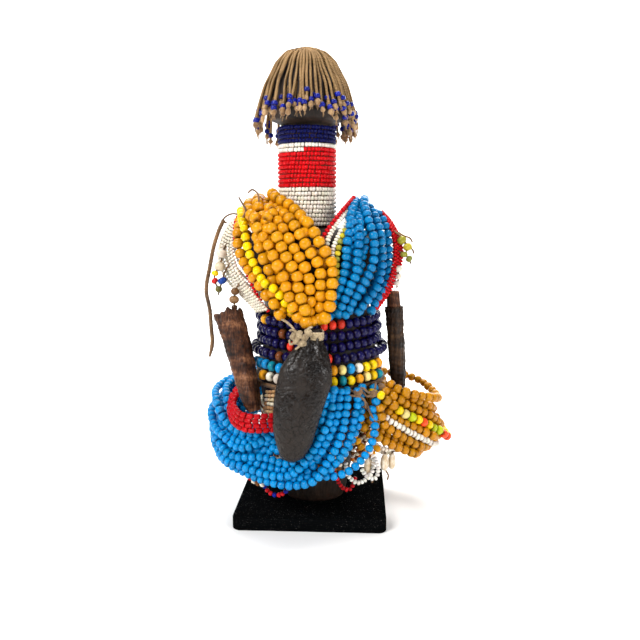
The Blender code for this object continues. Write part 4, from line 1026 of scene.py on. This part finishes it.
string_beads("hip_blue_strings", hip_blue, HIP_BEAD, 5.4, plain(hip_blue, "#0086C8"), bead_glass,
             "blue_beads", ["blue_hip_strands"])
string_beads("hip_blue_single", single, HIP_BEAD, 5.4, plain(single, "#0086C8"), bead_glass,
             "blue_beads", ["blue_hip_loop"])
GOLD, LIME, CORAL_GLASS, PALE = "#B87A0C", "#B4BE16", "#EA4B1C", "#EAD88A"
fan_colours = plain(hip_yellow, GOLD)
many = (LEMON, LEMON, GOLD, GOLD, LEMON, PALE, LIME, LEMON, CORAL_GLASS, LEMON, LIME, LIME,
        CORAL_GLASS, CORAL_GLASS, LEMON)
first = len(hip_yellow[0])
fan_colours[first:first + len(hip_yellow[1])] = pattern(len(hip_yellow[1]), many)
string_beads("hip_yellow_strings", hip_yellow, FAN_BEAD, 6.2, fan_colours, bead_glass,
             "yellow_beads", ["yellow_hip_strands"])
string_beads("hip_cream_string", cream_fan, 4.8, 3.6, plain(cream_fan, "#E9E1D2"), seed_glass,
             "white_beads", [], **SHORT_SHAPE)
string_beads("hip_red_strings", hip_red, 3.7, 4.8, plain(hip_red, "#B40C16"), seed_glass,
             "red_beads", ["red_hip_strands"], squareness=4.5)
threads("hip_threads", hip_blue + single + hip_yellow + hip_red)

# Inner fringe and short strings
# Under the skirt of beads short seed strings hang from the tie round the legs, in mixed left-over
# beads; at the front left and at the back longer ones show between the big loops.

FRINGE_TOP, FRINGE_LOW, FRINGE_STRINGS, FRINGE_BEADS = 80.0, 33.0, 46, 16
turn = (np.arange(FRINGE_STRINGS) + chance.uniform(-0.2, 0.2, FRINGE_STRINGS)) * 360 / FRINGE_STRINGS
low = FRINGE_LOW + 3 + chance.uniform(0, 7, FRINGE_STRINGS)
share = np.linspace(0, 1, FRINGE_BEADS)[None, :]
z = FRINGE_TOP + (low[:, None] - FRINGE_TOP) * share
swing = turn[:, None] + 3 * np.sin(share * 4 + turn[:, None]) * share
out = np.interp(z, (33.3, 57.3, 79.3), (6.2, 4.2, 1.9))
fringe = list(around(swing, section_radius(swing, z, out), z))
mixed = ("#E7DCC6", "#7A4B26", "#E7DCC6", "#C66A1E", "#D8CBB2", "#5B3520")
string_beads("fringe_strings", fringe, 3.6, 2.9, pattern(FRINGE_BEADS * FRINGE_STRINGS, mixed),
             seed_glass, "white_beads", ["inner_fringe"], 0.12, **SEED_SHAPE)

FRONT_SEEDS = [[(-47 + 4 * k, 46, 94), (-46 + 4 * k, 47.5, 90), (-44 + 3.6 * k, 49.5, 83),
                (-43 + 3.4 * k, 51, 74)] for k in range(5)]
front_seeds = [beads_on(hung(s), 2.8) for s in FRONT_SEEDS]
count = sum(len(s) for s in front_seeds)
string_beads("front_seed_strings", front_seeds, 3.5, 2.7,
             pattern(count, ("#C9A479", "#D9BE97", "#E6D9C2", "#B98D60")), seed_glass, "pale_cord",
             ["front_seed_strands"], 0.1, **SEED_SHAPE)

BACK_EDGES = [[(146, 48, 95), (150, 51, 82), (158, 53, 69), (170, 54, 65), (182, 53, 69),
               (190, 51, 82), (193, 48, 93)],
              [(146, 53, 86), (150, 57, 66), (158, 59, 48), (170, 60, 40), (182, 59, 46),
               (189, 55, 60), (192, 52, 80)]]
edges = [hung(s) for s in BACK_EDGES]
back = [beads_on(between(*edges, s), 3.4) for s in np.linspace(0, 1, 9)]
BONE = "#EDE3D0"
back_colours = (BONE, BONE, "#C8141E", BONE, "#1B2A8C", BONE, "#F0D208", BONE, BONE)
colours = np.concatenate([plain([s], c) for s, c in zip(back, back_colours)])
string_beads("back_strings", back, 3.9, 3.2, colours, seed_glass, "white_beads",
             ["back_hip_strands"], 0.08, sides=8, rings=6)

LOW_LOOPS = (
    ("white_low_loop", [(28, 48, 46), (28, 50, 39), (34, 54, 33), (40, 56, 34), (45, 58, 40),
                        (48, 56, 50)], 3.4, 2.5, ("#F2ECE0",), "white_beads", ["white_hip_loop"]),
    ("red_low_loop", [(17, 46, 46), (20, 47, 37), (26, 48, 28.5), (33, 49, 27), (37, 49, 35)],
     3.2, 2.6, ("#B8141C", "#A01018"), "red_beads", ["red_hip_loop"]),
    ("white_side_loop", [(42, 56, 56), (46, 60, 48), (48, 60.5, 40), (46, 60, 35), (42, 57, 36),
                         (38, 54, 42)], 3.4, 2.5, ("#F2ECE0", "#F4EFE6"), "white_beads", []),
    ("amber_low_string", [(30, 48, 72), (34, 52, 63), (39, 54, 56), (44, 57, 52), (50, 58, 56)],
     5.4, 4.8, ("#E0941A",), "yellow_beads", []),
    ("cream_low_string", [(46, 52, 66), (50, 57, 57), (55, 61, 53.5), (60, 63, 53), (66, 66, 52),
                          (74, 66, 56)], 3.4, 2.5, ("#EDE3D0",), "white_beads", []),
    ("cream_side_string", [(48, 50, 60), (54, 56, 52), (60, 58, 49), (66, 60, 49), (74, 60, 54)],
     3.4, 2.5, ("#E4D8C2", "#EDE3D0"), "white_beads", []),
    ("brown_side_string", [(30, 47, 84), (33, 49, 70), (37, 50, 58), (42, 51, 50), (50, 52, 48)],
     3.6, 2.8, ("#6A3A1E", "#C0621A", "#8A5A34"), "brown_cord", []),
    ("mixed_left_low", [(-62, 60, 52), (-56, 60, 38), (-46, 58, 32), (-36, 57, 31), (-26, 56, 36)],
     4.4, 3.6, ("#E9DFCB", "#141F86", "#B8141C", "#E9DFCB", "#7A4B26"), "white_beads", []),
    ("red_left_low", [(-44, 56, 40), (-36, 55, 28), (-28, 54, 24), (-20, 53, 27), (-14, 53, 36)],
     3.4, 3.0, ("#B8141C", "#141F86", "#B8141C"), "red_beads", []))
for name, points, *rest in LOW_LOOPS:
    short_string(name, hung(points), 1.03, *rest)

# Hip tie
# Two turns of brown bast cord wound round the hips under the belt, over the strings' upper ends,
# knotted at the front right with its loose tails left hanging.

TIE_TURNS_Z = (97.6, 95.4)


def knotted_cord(name, paths, radius, sides, lay, finish, slot, nodes=(), beside=(0.0, -1.0, 0.0)):
    """Laid cords along several smooth paths as one piece."""
    parts = []
    for points in paths:
        size = length_of(points)
        steps = max(int(size / (lay * 0.16)), 12)
        path = smooth_path(points, steps)
        ends = np.interp(np.linspace(0, 1, steps), (0, 0.03, 0.97, 1), (0.5, 1, 1, 0.5))[:, None]
        parts.append(tubes(path[None], laid(radius, steps, size, sides, lay) * ends, sides,
                           np.array(beside)))
    points, faces = joined(*parts)
    placed(solid(name, points, faces, [finish]), slot, *nodes)


turn = np.linspace(28, 396, 60)
tie_paths = []
for z, swell in zip(TIE_TURNS_Z, (0.3, -0.4)):
    level = z + 0.7 * np.sin(np.radians(turn * 2 + 40 * z))
    tie_paths.append(around(turn, section_radius(turn, level, 2.4 + swell), level))
knotted_cord("hip_tie", tie_paths, 1.25, 7, 4.4, brown_fibre, "brown_cord", ["hip_tie_cord"],
             (0.0, 0.0, 1.0))
TIE_TAILS = [hung(s) for s in (
    [(28, 49, 98), (31, 52, 96), (36, 53, 92), (40, 54, 88), (41, 57, 82), (44, 60, 75)],
    [(52, 50, 98), (49, 53, 95), (45, 54, 94), (40, 55, 96), (36, 54, 99), (33, 51, 98)],
    [(36, 52, 97), (40, 55, 93), (46, 55, 95), (50, 53, 99), (54, 50, 100)],
    [(44, 53, 95), (48, 56, 91), (53, 57, 88), (57, 58, 89)],
    [(20, 50, 98), (25, 52, 95), (31, 54, 94), (37, 55, 91), (38, 56, 85)],
    [(-156, 50, 99), (-162, 52, 92), (-166, 54, 84), (-168, 55, 76), (-170, 55, 68), (-171, 54, 60)],
    [(-160, 51, 98), (-165, 53, 88), (-163, 55, 80), (-168, 56, 72), (-166, 55, 64), (-170, 53, 57)],
    [(124, 51, 98), (131, 53, 93), (138, 54, 87), (145, 54, 80), (151, 53, 73)],
    [(128, 51, 99), (134, 54, 91), (142, 54, 85), (148, 54, 77)])]
knotted_cord("hip_tie_tails", TIE_TAILS, 0.8, 6, 3.4, brown_fibre, "brown_cord")
tie_knots = hung([(33, 53, 96.5), (45, 55, 94), (57, 53, 96), (-30, 49, 97), (-58, 50, 96.5)])
knot_points, knot_faces = lumps(tie_knots, np.array([(1.0, 0.2, 0.3)] * 5), 5.6, 6.4, 12, 9)
placed(solid("hip_tie_knots", knot_points, knot_faces, [brown_fibre]), "brown_cord")

# Horns
# Left: the open end of a small reddish horn, its mouth broken and jagged, weathered and cracked.
# Right: a slimmer black-brown horn closed with a turned wooden plug; both hang from the belt.

HORN_PARTS = (
    # name, axis from mouth to tip, radius, depth of the teeth and of the hollow in mm, slot, and
    # the taper: places along the horn, and the share of the radius at each
    ("left_horn", [(-57.5, -25, 147.3), (-51.5, -29, 129.3), (-45.8, -34, 109.3), (-41.4, -39, 93.3),
                   (-37.5, -41.5, 81.3)], 9.9, 2.3, 9.0, "left_horn",
     ((0, 0.12, 0.45, 0.75, 0.92, 1), (1.0, 0.985, 0.89, 0.77, 0.62, 0.36))),
    ("right_horn", [(58, -4, 149.3), (59.5, -4, 127.3), (61, -4, 107.3), (62.3, -4, 90.3)], 6.2,
     0.3, 3.0, "right_horn", ((0, 0.1, 0.5, 0.85, 1), (0.98, 1.0, 0.97, 0.93, 0.72))))


def horn_surface(axis, radius, jag, hollow, taper, rows=140, sides=72):
    """Skin down the outside, over the rim and into the mouth: radius by taper, growth rings as
    small waves along it, long flutes round it, and the rim cut up and down by broken teeth."""
    size = length_of(axis)
    outer = np.linspace(1, 0, rows)
    inner = np.linspace(0, hollow / size, 12)[1:]
    share = np.concatenate([outer, inner])[:, None]
    turn = np.arange(sides)[None, :] * 2 * math.pi / sides
    inside = np.arange(len(share))[:, None] >= rows
    teeth = 0.45 * np.sin(turn * 3 + 0.7) + 0.3 * np.sin(turn * 7 + 2.0) + 0.3 * np.sin(turn * 13)
    at = share + (jag / size) * teeth * np.exp(-share * size / 4.0)
    down = share * size
    rings = 0.24 * np.sin(down * 0.55 + 1.2 * np.sin(down * 0.13) + 0.5 * np.sin(turn * 2)) ** 3 \
        + 0.12 * np.sin(down * 1.9 + turn * 3)
    flutes = 0.26 * np.sin(turn * 5 + share * 3) + 0.16 * np.sin(turn * 11 - share * 9) \
        + 0.25 * np.sin(turn * 17 + 2 * np.sin(down * 0.8)) * np.exp(-down / 14)
    skin = np.interp(share, *taper) * radius + (rings + flutes) * np.where(inside, 0.3, 1.0)
    wall = np.interp(share * size, (0, hollow * 0.8, hollow), (1.9, 2.8, radius * 0.85))
    radii = np.where(inside, np.maximum(skin - wall, 0.4), skin)
    fine = smooth_path(axis, 240)
    where = np.clip(at, 0, 1) * 239
    beyond = np.minimum(at, 0) * size
    spine = read_off(where, np.arange(240), fine)
    ahead = unit(fine[-1] - fine[0])
    spine = spine + ahead * beyond[..., None]
    n = unit(np.cross(ahead, (0.0, 1.0, 0.0)))
    b = np.cross(ahead, n)
    points = spine + radii[..., None] * (np.cos(turn)[..., None] * n + np.sin(turn)[..., None] * b)
    return points, [f[:, ::-1] for f in closed_skins(1, len(share), sides)]


def horn_finish(name, dark, middle, light):
    """Weathered horn: long upright streaks crossed by broad bands of growth, dull and a little greasy."""
    finish = new_finish(name)
    place = add_node(finish, "TexCoord")
    long = add_node(finish, "Mapping", [("Vector", place, "Object")], Scale=(1, 1, 0.16))
    streak = add_node(finish, "TexNoise", [("Vector", long, "Vector")], Scale=900.0,
                      Detail=7.0, Roughness=0.75)
    wide = add_node(finish, "Mapping", [("Vector", place, "Object")], Scale=(0.4, 0.4, 1))
    growth = add_node(finish, "TexNoise", [("Vector", wide, "Vector")], Scale=120.0,
                      Detail=3.0, Distortion=0.4)
    mixed = add_node(finish, "Math", [(0, streak, "Fac"), (1, growth, "Fac")],
                     operation="MULTIPLY")
    ramp = add_node(finish, "ValToRGB", [("Fac", mixed, "Value")],
                    ((0.16, dark), (0.42, light), (0.25, middle)))
    bump = add_node(finish, "Bump", [("Height", mixed, "Value")], Strength=0.8,
                    Distance=0.0004)
    rough = add_node(finish, "MapRange", [("Value", streak, "Fac")], From_Min=0.3,
                     From_Max=0.7, To_Min=0.38, To_Max=0.62)
    return shade(finish, [("Base Color", ramp, "Color"), ("Roughness", rough, "Result")], bump,
                 IOR=1.54, Specular_IOR_Level=0.18)


# reddish horn, cracked and rubbed; the slim one is nearly black
horn_finishes = {"left_horn": horn_finish("weathered red-brown horn", "#140A06", "#472818", "#9C6A48"),
                 "right_horn": horn_finish("polished dark horn", "#0C0704", "#2C1B0E", "#5A4028")}
for name, axis, radius, jag, hollow, slot, taper in HORN_PARTS:
    points, faces = horn_surface(axis, radius, jag, hollow, taper)
    placed(solid(name + "_shell", points, faces, [horn_finishes[name]]), slot, name)

# wooden plug in the slim horn's mouth
plug_axis = smooth_path([(58.1, -4, 146.0), (57.9, -4, 150.2), (57.2, -4, 160.4)], 30)
share = np.linspace(0, 1, 30)
plug_radius = np.interp(share, (0, 0.2, 0.5, 0.93, 1), (4.4, 5.0, 4.8, 4.7, 3.6))[:, None]
plug_points, plug_faces = tubes(plug_axis[None], plug_radius + 0.12 * np.sin(np.arange(24) * 1.9), 24,
                                np.array((0.0, -1.0, 0.0)))
placed(solid("horn_plug", plug_points, plug_faces, [horn_finishes["left_horn"]]), "right_horn",
       "right_horn_stopper")

# Leather amulet
# A flat pouch of hide sewn over its filling, black with grease, its neck gathered into folds
# and bound with a knot of pale fibre to the belt.

# height, middle x, middle y, half width and half depth in millimetres
AMULET_RINGS = np.array([
    (54.3, -10, -66, 1.0, 0.6), (55.2, -10, -66, 4.6, 3.2), (58.5, -9.6, -66, 8.6, 5.6),
    (67.3, -8.5, -65.5, 12.4, 7.4), (76.3, -8, -65, 14.5, 8.1), (86.3, -6.5, -64, 16.2, 8.5),
    (96.3, -4.5, -62.5, 17.4, 8.6), (106.3, -2, -60.5, 18.3, 8.6), (115.3, -1, -59, 17.2, 8.3),
    (124.3, 0.5, -56, 13.2, 7.3), (130.3, 2, -54, 8.8, 5.8), (135.3, 3.5, -52, 5.2, 4.2),
    (139.0, 4.6, -51.2, 5.0, 3.4), (140.3, 5, -51, 3.4, 2.4)])

POUCH_ROWS, POUCH_SIDES = 240, 160
POUCH_BOTTOM, POUCH_HEIGHT = 54.3, 86.0

fine = smooth_path(AMULET_RINGS[:, [1, 2, 0]], POUCH_ROWS)
sizes = read_off(fine[:, 2], AMULET_RINGS[:, 0], AMULET_RINGS[:, 3:])
# each ring's size is the mean of seven neighbours, which rounds off the corners between the rings
sizes = np.stack([np.convolve(np.pad(s, 3, mode="edge"), np.ones(7) / 7, "valid") for s in sizes.T], -1)
turn = np.arange(POUCH_SIDES)[None, :] * 2 * math.pi / POUCH_SIDES
up = (fine[:, 2:3] - POUCH_BOTTOM) / POUCH_HEIGHT
gather = np.clip((up - 0.70) / 0.2, 0, 1)
folds = gather * (0.9 * np.sin(turn * 7 + 3 * up) + 0.5 * np.sin(turn * 12 + 1.0))
crinkle = 0.24 * np.sin(turn * 9 + up * 31) * np.sin(up * 47 + turn * 4) \
    + 0.15 * np.sin(turn * 17 - up * 40 + 2 * np.sin(up * 60)) * np.sin(up * 83 + 3 * np.sin(turn * 6)) \
    + 0.10 * np.sin(turn * 31 + 4 * np.sin(up * 52)) * np.sin(up * 140 + 2 * np.sin(turn * 11))
dents = 0.5 * np.exp(-((np.mod(turn + 0.3, 2 * math.pi) - 4.6) ** 2 / 0.12 + (up - 0.42) ** 2 / 0.02))
reach_x = sizes[:, :1] - 0.3 + (folds + crinkle - dents) * 0.55
reach_y = sizes[:, 1:] - 0.3 + (folds + crinkle) * 0.8 - dents
squareness = 1.12
cx = np.sign(np.cos(turn)) * np.abs(np.cos(turn)) ** (1 / squareness)
sy = np.sign(np.sin(turn)) * np.abs(np.sin(turn)) ** (1 / squareness)
pouch_points = np.stack([fine[:, :1] + np.maximum(reach_x, 0.3) * cx,
                         fine[:, 1:2] + np.maximum(reach_y, 0.3) * sy,
                         np.broadcast_to(fine[:, 2:3], (POUCH_ROWS, POUCH_SIDES))], -1)

# greasy black hide: brown-black, crackled, with a broken shine on the high places
hide = new_finish("greased black hide")
place = add_node(hide, "TexCoord")
crack = add_node(hide, "TexVoronoi", [("Vector", place, "Object")], Scale=520.0,
                 feature="DISTANCE_TO_EDGE")
pore = add_node(hide, "TexNoise", [("Vector", place, "Object")], Scale=700.0, Detail=3.0,
                Roughness=0.6)
pore_depth = add_node(hide, "MapRange", [("Value", pore, "Fac")], To_Min=0.75)
patch = add_node(hide, "TexNoise", [("Vector", place, "Object")], Scale=90.0, Detail=4.0)
edge = add_node(hide, "MapRange", [("Value", crack, "Distance")], From_Max=0.07,
                To_Min=0.6)
plates = add_node(hide, "TexVoronoi", [("Vector", place, "Object")], Scale=230.0,
                  feature="DISTANCE_TO_EDGE")
plate_edge = add_node(hide, "MapRange", [("Value", plates, "Distance")], From_Max=0.05,
                      To_Min=0.5)
skin_height = add_node(hide, "Math", [(0, edge, "Result"), (1, plate_edge, "Result")],
                       operation="MULTIPLY")
height = add_node(hide, "Math", [(0, skin_height, "Value"), (1, pore_depth, "Result")],
                  operation="MULTIPLY")
tone = add_node(hide, "Math", [(0, height, "Value"), (1, patch, "Fac")],
                operation="MULTIPLY")
hide_ramp = add_node(hide, "ValToRGB", [("Fac", tone, "Value")], ((0.16, "#060404"), (0.60, "#21170F")))
hide_bump = add_node(hide, "Bump", [("Height", height, "Value")], Strength=0.9,
                     Distance=0.0003)
hide_rough = add_node(hide, "MapRange", [("Value", patch, "Fac")], From_Min=0.35,
                      From_Max=0.65, To_Min=0.14, To_Max=0.42)
hide_shine = add_node(hide, "MapRange", [("Value", height, "Value")], To_Min=0.0,
                      To_Max=0.38)
shade(hide, [("Base Color", hide_ramp, "Color"), ("Roughness", hide_rough, "Result"),
             ("Specular IOR Level", hide_shine, "Result")], hide_bump)
placed(solid("amulet_pouch", pouch_points, closed_skins(1, POUCH_ROWS, POUCH_SIDES), [hide]),
       "amulet_leather", "leather_amulet")

# pale fibre binding: close turns round the pouch's neck, a rope from the belt, and short loose ends
loop_turn = np.linspace(0, 2 * math.pi * 4, 90)
binding = np.stack([4.2 + 5.6 * np.cos(loop_turn), -51.4 - 4.6 * np.sin(loop_turn),
                    133.6 + 1.35 * loop_turn / (2 * math.pi)], -1)
AMULET_KNOTS = [binding,
                [(-18, -48, 146), (-14, -51, 144.5), (-10, -54.5, 141.5), (-7, -57.5, 138), (-4, -59, 135)],
                [(-4, -58, 136), (-8, -60, 133), (-11, -59, 131.5), (-12, -57, 134)],
                [(-3, -58, 133), (-5, -60, 130.5), (-8, -59.5, 128)],
                [(-1, -57, 137), (0, -57, 141), (3, -55.5, 142.5)],
                [(-6, -58, 138), (-9, -58, 140.5), (-12, -56.5, 140)]]
knotted_cord("amulet_binding", AMULET_KNOTS, 0.85, 7, 3.0, pale_fibre, "pale_cord", ["amulet_knot"])
# the knot itself: a rubbed tangle of the same fibre
tangle_at = np.array([(-2, -57.5, 135.5), (-5.4, -58.2, 137.4), (-7.4, -58, 133.8), (-3.6, -58.6, 131.8),
                      (-8.8, -57.2, 136.6), (0.2, -56.4, 138.4)])
tangle_points, tangle_faces = lumps(tangle_at, chance.normal(0, 1, (6, 3)), 5.2, 6.4, 14, 11)
placed(solid("amulet_tangle", tangle_points, tangle_faces, [pale_fibre]), "pale_cord")

# Small tassels at the shoulders
# Short brown threads with a few odd beads, hanging from the outer strings at each shoulder.
# Some ends are left loose, and two tufts of thread stand up where the yellow strings are tied.

# each bead: its centre, its size in millimetres and its colour
TASSELS = (
    ("left_tassel_high", (((-63.5, -14, 187), 5.6, "#E9DFCB"), ((-64.5, -15.5, 178), 6.0, "#E2D3B4"),
                          ((-67.5, -17, 173.5), 4.6, "#EFC20A"), ((-67.8, -17.5, 168.2), 5.0, "#C81E18"),
                          ((-62.4, -18, 168.4), 6.4, "#123C8C"), ((-65, -18, 162.4), 4.4, "#7A7436")),
     ["left_tassel_upper"]),
    ("left_tassel_low", (((-52.6, -23.6, 161.5), 5.2, "#6E4D30"), ((-53.2, -24.6, 156), 6.0, "#8A6A48"),
                         ((-53, -25, 150.6), 4.0, "#4A3220")), ["left_tassel_lower"]),
    ("right_tassel_high", (((62.6, -9, 196.5), 5.0, "#A9A032"), ((66.6, -9.5, 191.8), 5.6, "#C2B034"),
                           ((64.2, -10, 186.6), 5.0, "#8F8D34"), ((67.8, -10, 183.6), 4.6, "#7B7A30")),
     ["right_tassel_upper"]),
    ("right_tassel_low", (((60.4, -9, 176.4), 5.0, "#EDE5D3"), ((60.6, -10, 171.2), 4.4, "#E4DAC4"),
                          ((59.6, -10, 166.4), 4.2, "#EDE5D3")), ["right_tassel_lower"]))
for name, beads, nodes in TASSELS:
    centres = np.array([b[0] for b in beads])
    across = 1.2 * np.array([b[1] for b in beads])
    string_beads(name, [centres], across, across * 0.82, np.array([linear(b[2]) for b in beads]),
                 bead_glass, "yellow_beads" if name == "right_tassel_high" else "white_beads", nodes,
                 0.1)
SIDE_CORD_TIE = [(-52, -2, 214), (-57, -4, 214.5), (-61.5, -5, 212.5), (-63.5, -4.5, 209.5),
                 (-61, -3, 208)]
TASSEL_FRAYS = [SIDE_CORD_TIE,
                [(57, -7, 203), (61, -9, 200), (64, -10, 196), (67, -9.5, 192), (65, -10, 187)],
                [(59, -6, 197), (62.6, -9, 196.5), (66, -10, 193), (70, -9, 190), (71, -9, 187)],
                [(58, -7, 190), (62, -9, 188), (64.2, -10, 186.6), (67.8, -10, 183.6), (69, -9, 180)],
                [(60, -8, 202), (64, -9, 199.5), (68, -9, 198), (70, -9, 195)],
                [(-58, -8, 196), (-62, -12, 190), (-64, -15, 180), (-67.5, -17, 173.5),
                 (-67.8, -17.5, 168), (-65, -18, 162), (-65.5, -18, 158)],
                [(-57, -13, 181), (-61, -16, 174), (-62.4, -18, 168.4), (-64.5, -18, 162.4)],
                [(-49, -20, 168), (-52, -23, 163), (-53, -25, 156), (-53, -25.5, 149), (-54.5, -25, 146)],
                [(56, -9, 184), (60, -9, 178), (60.6, -10, 171), (59.5, -10, 163)],
                [(-50, -17, 226), (-47, -22, 222), (-44, -26, 217), (-46, -27, 212)],
                [(-44, -14, 229), (-40, -20, 231), (-36, -22, 228), (-35, -25, 223)]]
knotted_cord("tassel_frays", TASSEL_FRAYS, 0.75, 6, 3.2, brown_fibre, "brown_cord")

# Cowrie shells
# Small money cowries sewn at the right under the fan, their toothed mouths turned outwards.
# Each hangs from the strings above it by a short brown thread.

# each shell's solid, and the angle from the front that its mouth faces
COWRIES = (("cowrie_shell_1", 46), ("cowrie_shell_2", 56), ("cowrie_shell_3", 66))
# how much wider, deeper and shorter the drawn shell is than its solid's box
SHELL_SWELL = (1.5, 1.35, 0.95)


def cowrie(middle, size, angle):
    """Egg with a flat face: the mouth is a long groove in it, its lips cut by fine teeth."""
    v = np.linspace(-1, 1, 31)[:, None] * math.pi / 2
    u = np.arange(40)[None, :] * 2 * math.pi / 40
    face = np.cos(u) > 0
    along = np.sin(v)
    width = np.cos(v) ** 0.85 * (1 - 0.12 * along)
    groove = np.exp(-(np.sin(u) / 0.16) ** 2) * face * np.cos(v) ** 0.5
    teeth = 0.05 * np.exp(-(np.sin(u) / 0.36) ** 2) * face * np.sin(v * 26)
    out = np.where(face, 0.62, 1.0) - 0.34 * groove + teeth
    local = np.stack([width * np.sin(u), width * np.cos(u) * out, along + 0 * u], -1)
    local = local * np.array(size) / 2
    local[..., 1] *= -1
    c, s = math.cos(math.radians(angle)), math.sin(math.radians(angle))
    turned = np.stack([local[..., 0] * c - local[..., 1] * s, local[..., 0] * s + local[..., 1] * c,
                       local[..., 2]], -1)
    return turned[::-1] + middle


# porcelain-like shell: cream with tan clouds, and glossy
shell_finish = new_finish("polished cowrie shell")
place = add_node(shell_finish, "TexCoord")
cloudy = add_node(shell_finish, "TexNoise", [("Vector", place, "Object")], Scale=300.0,
                  Detail=4.0)
shell_ramp = add_node(shell_finish, "ValToRGB", [("Fac", cloudy, "Fac")],
                      ((0.35, "#C9AE84"), (0.62, "#F1E8D6")))
shade(shell_finish, [("Base Color", shell_ramp, "Color")], Roughness=0.3, Coat_Weight=0.3,
      Coat_Roughness=0.15)
for name, angle in COWRIES:
    low, high = (np.array(c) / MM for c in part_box(name))
    points = cowrie((low + high) / 2, (high - low) * SHELL_SWELL, angle)
    placed(solid(name + "_toothed", points, closed_skins(1, *points.shape[:2]), [shell_finish]),
           "shell", name)

SHELL_THREADS = [hung(s) for s in (
    [(42, 54, 58), (44, 54.5, 53), (45, 54.5, 47)], [(52, 58, 60), (55, 59.5, 55), (56, 60, 49)],
    [(60, 61, 58), (62, 62, 54), (63, 62, 48)], [(63, 62, 50), (70, 64, 48), (78, 66, 47), (84, 68, 50)],
    [(45, 56, 38), (47, 57, 34), (46, 57, 31)], [(56, 61, 38), (58, 62, 34), (57, 62, 31)])]
knotted_cord("shell_threads", SHELL_THREADS, 0.7, 6, 3.0, brown_fibre, "brown_cord")
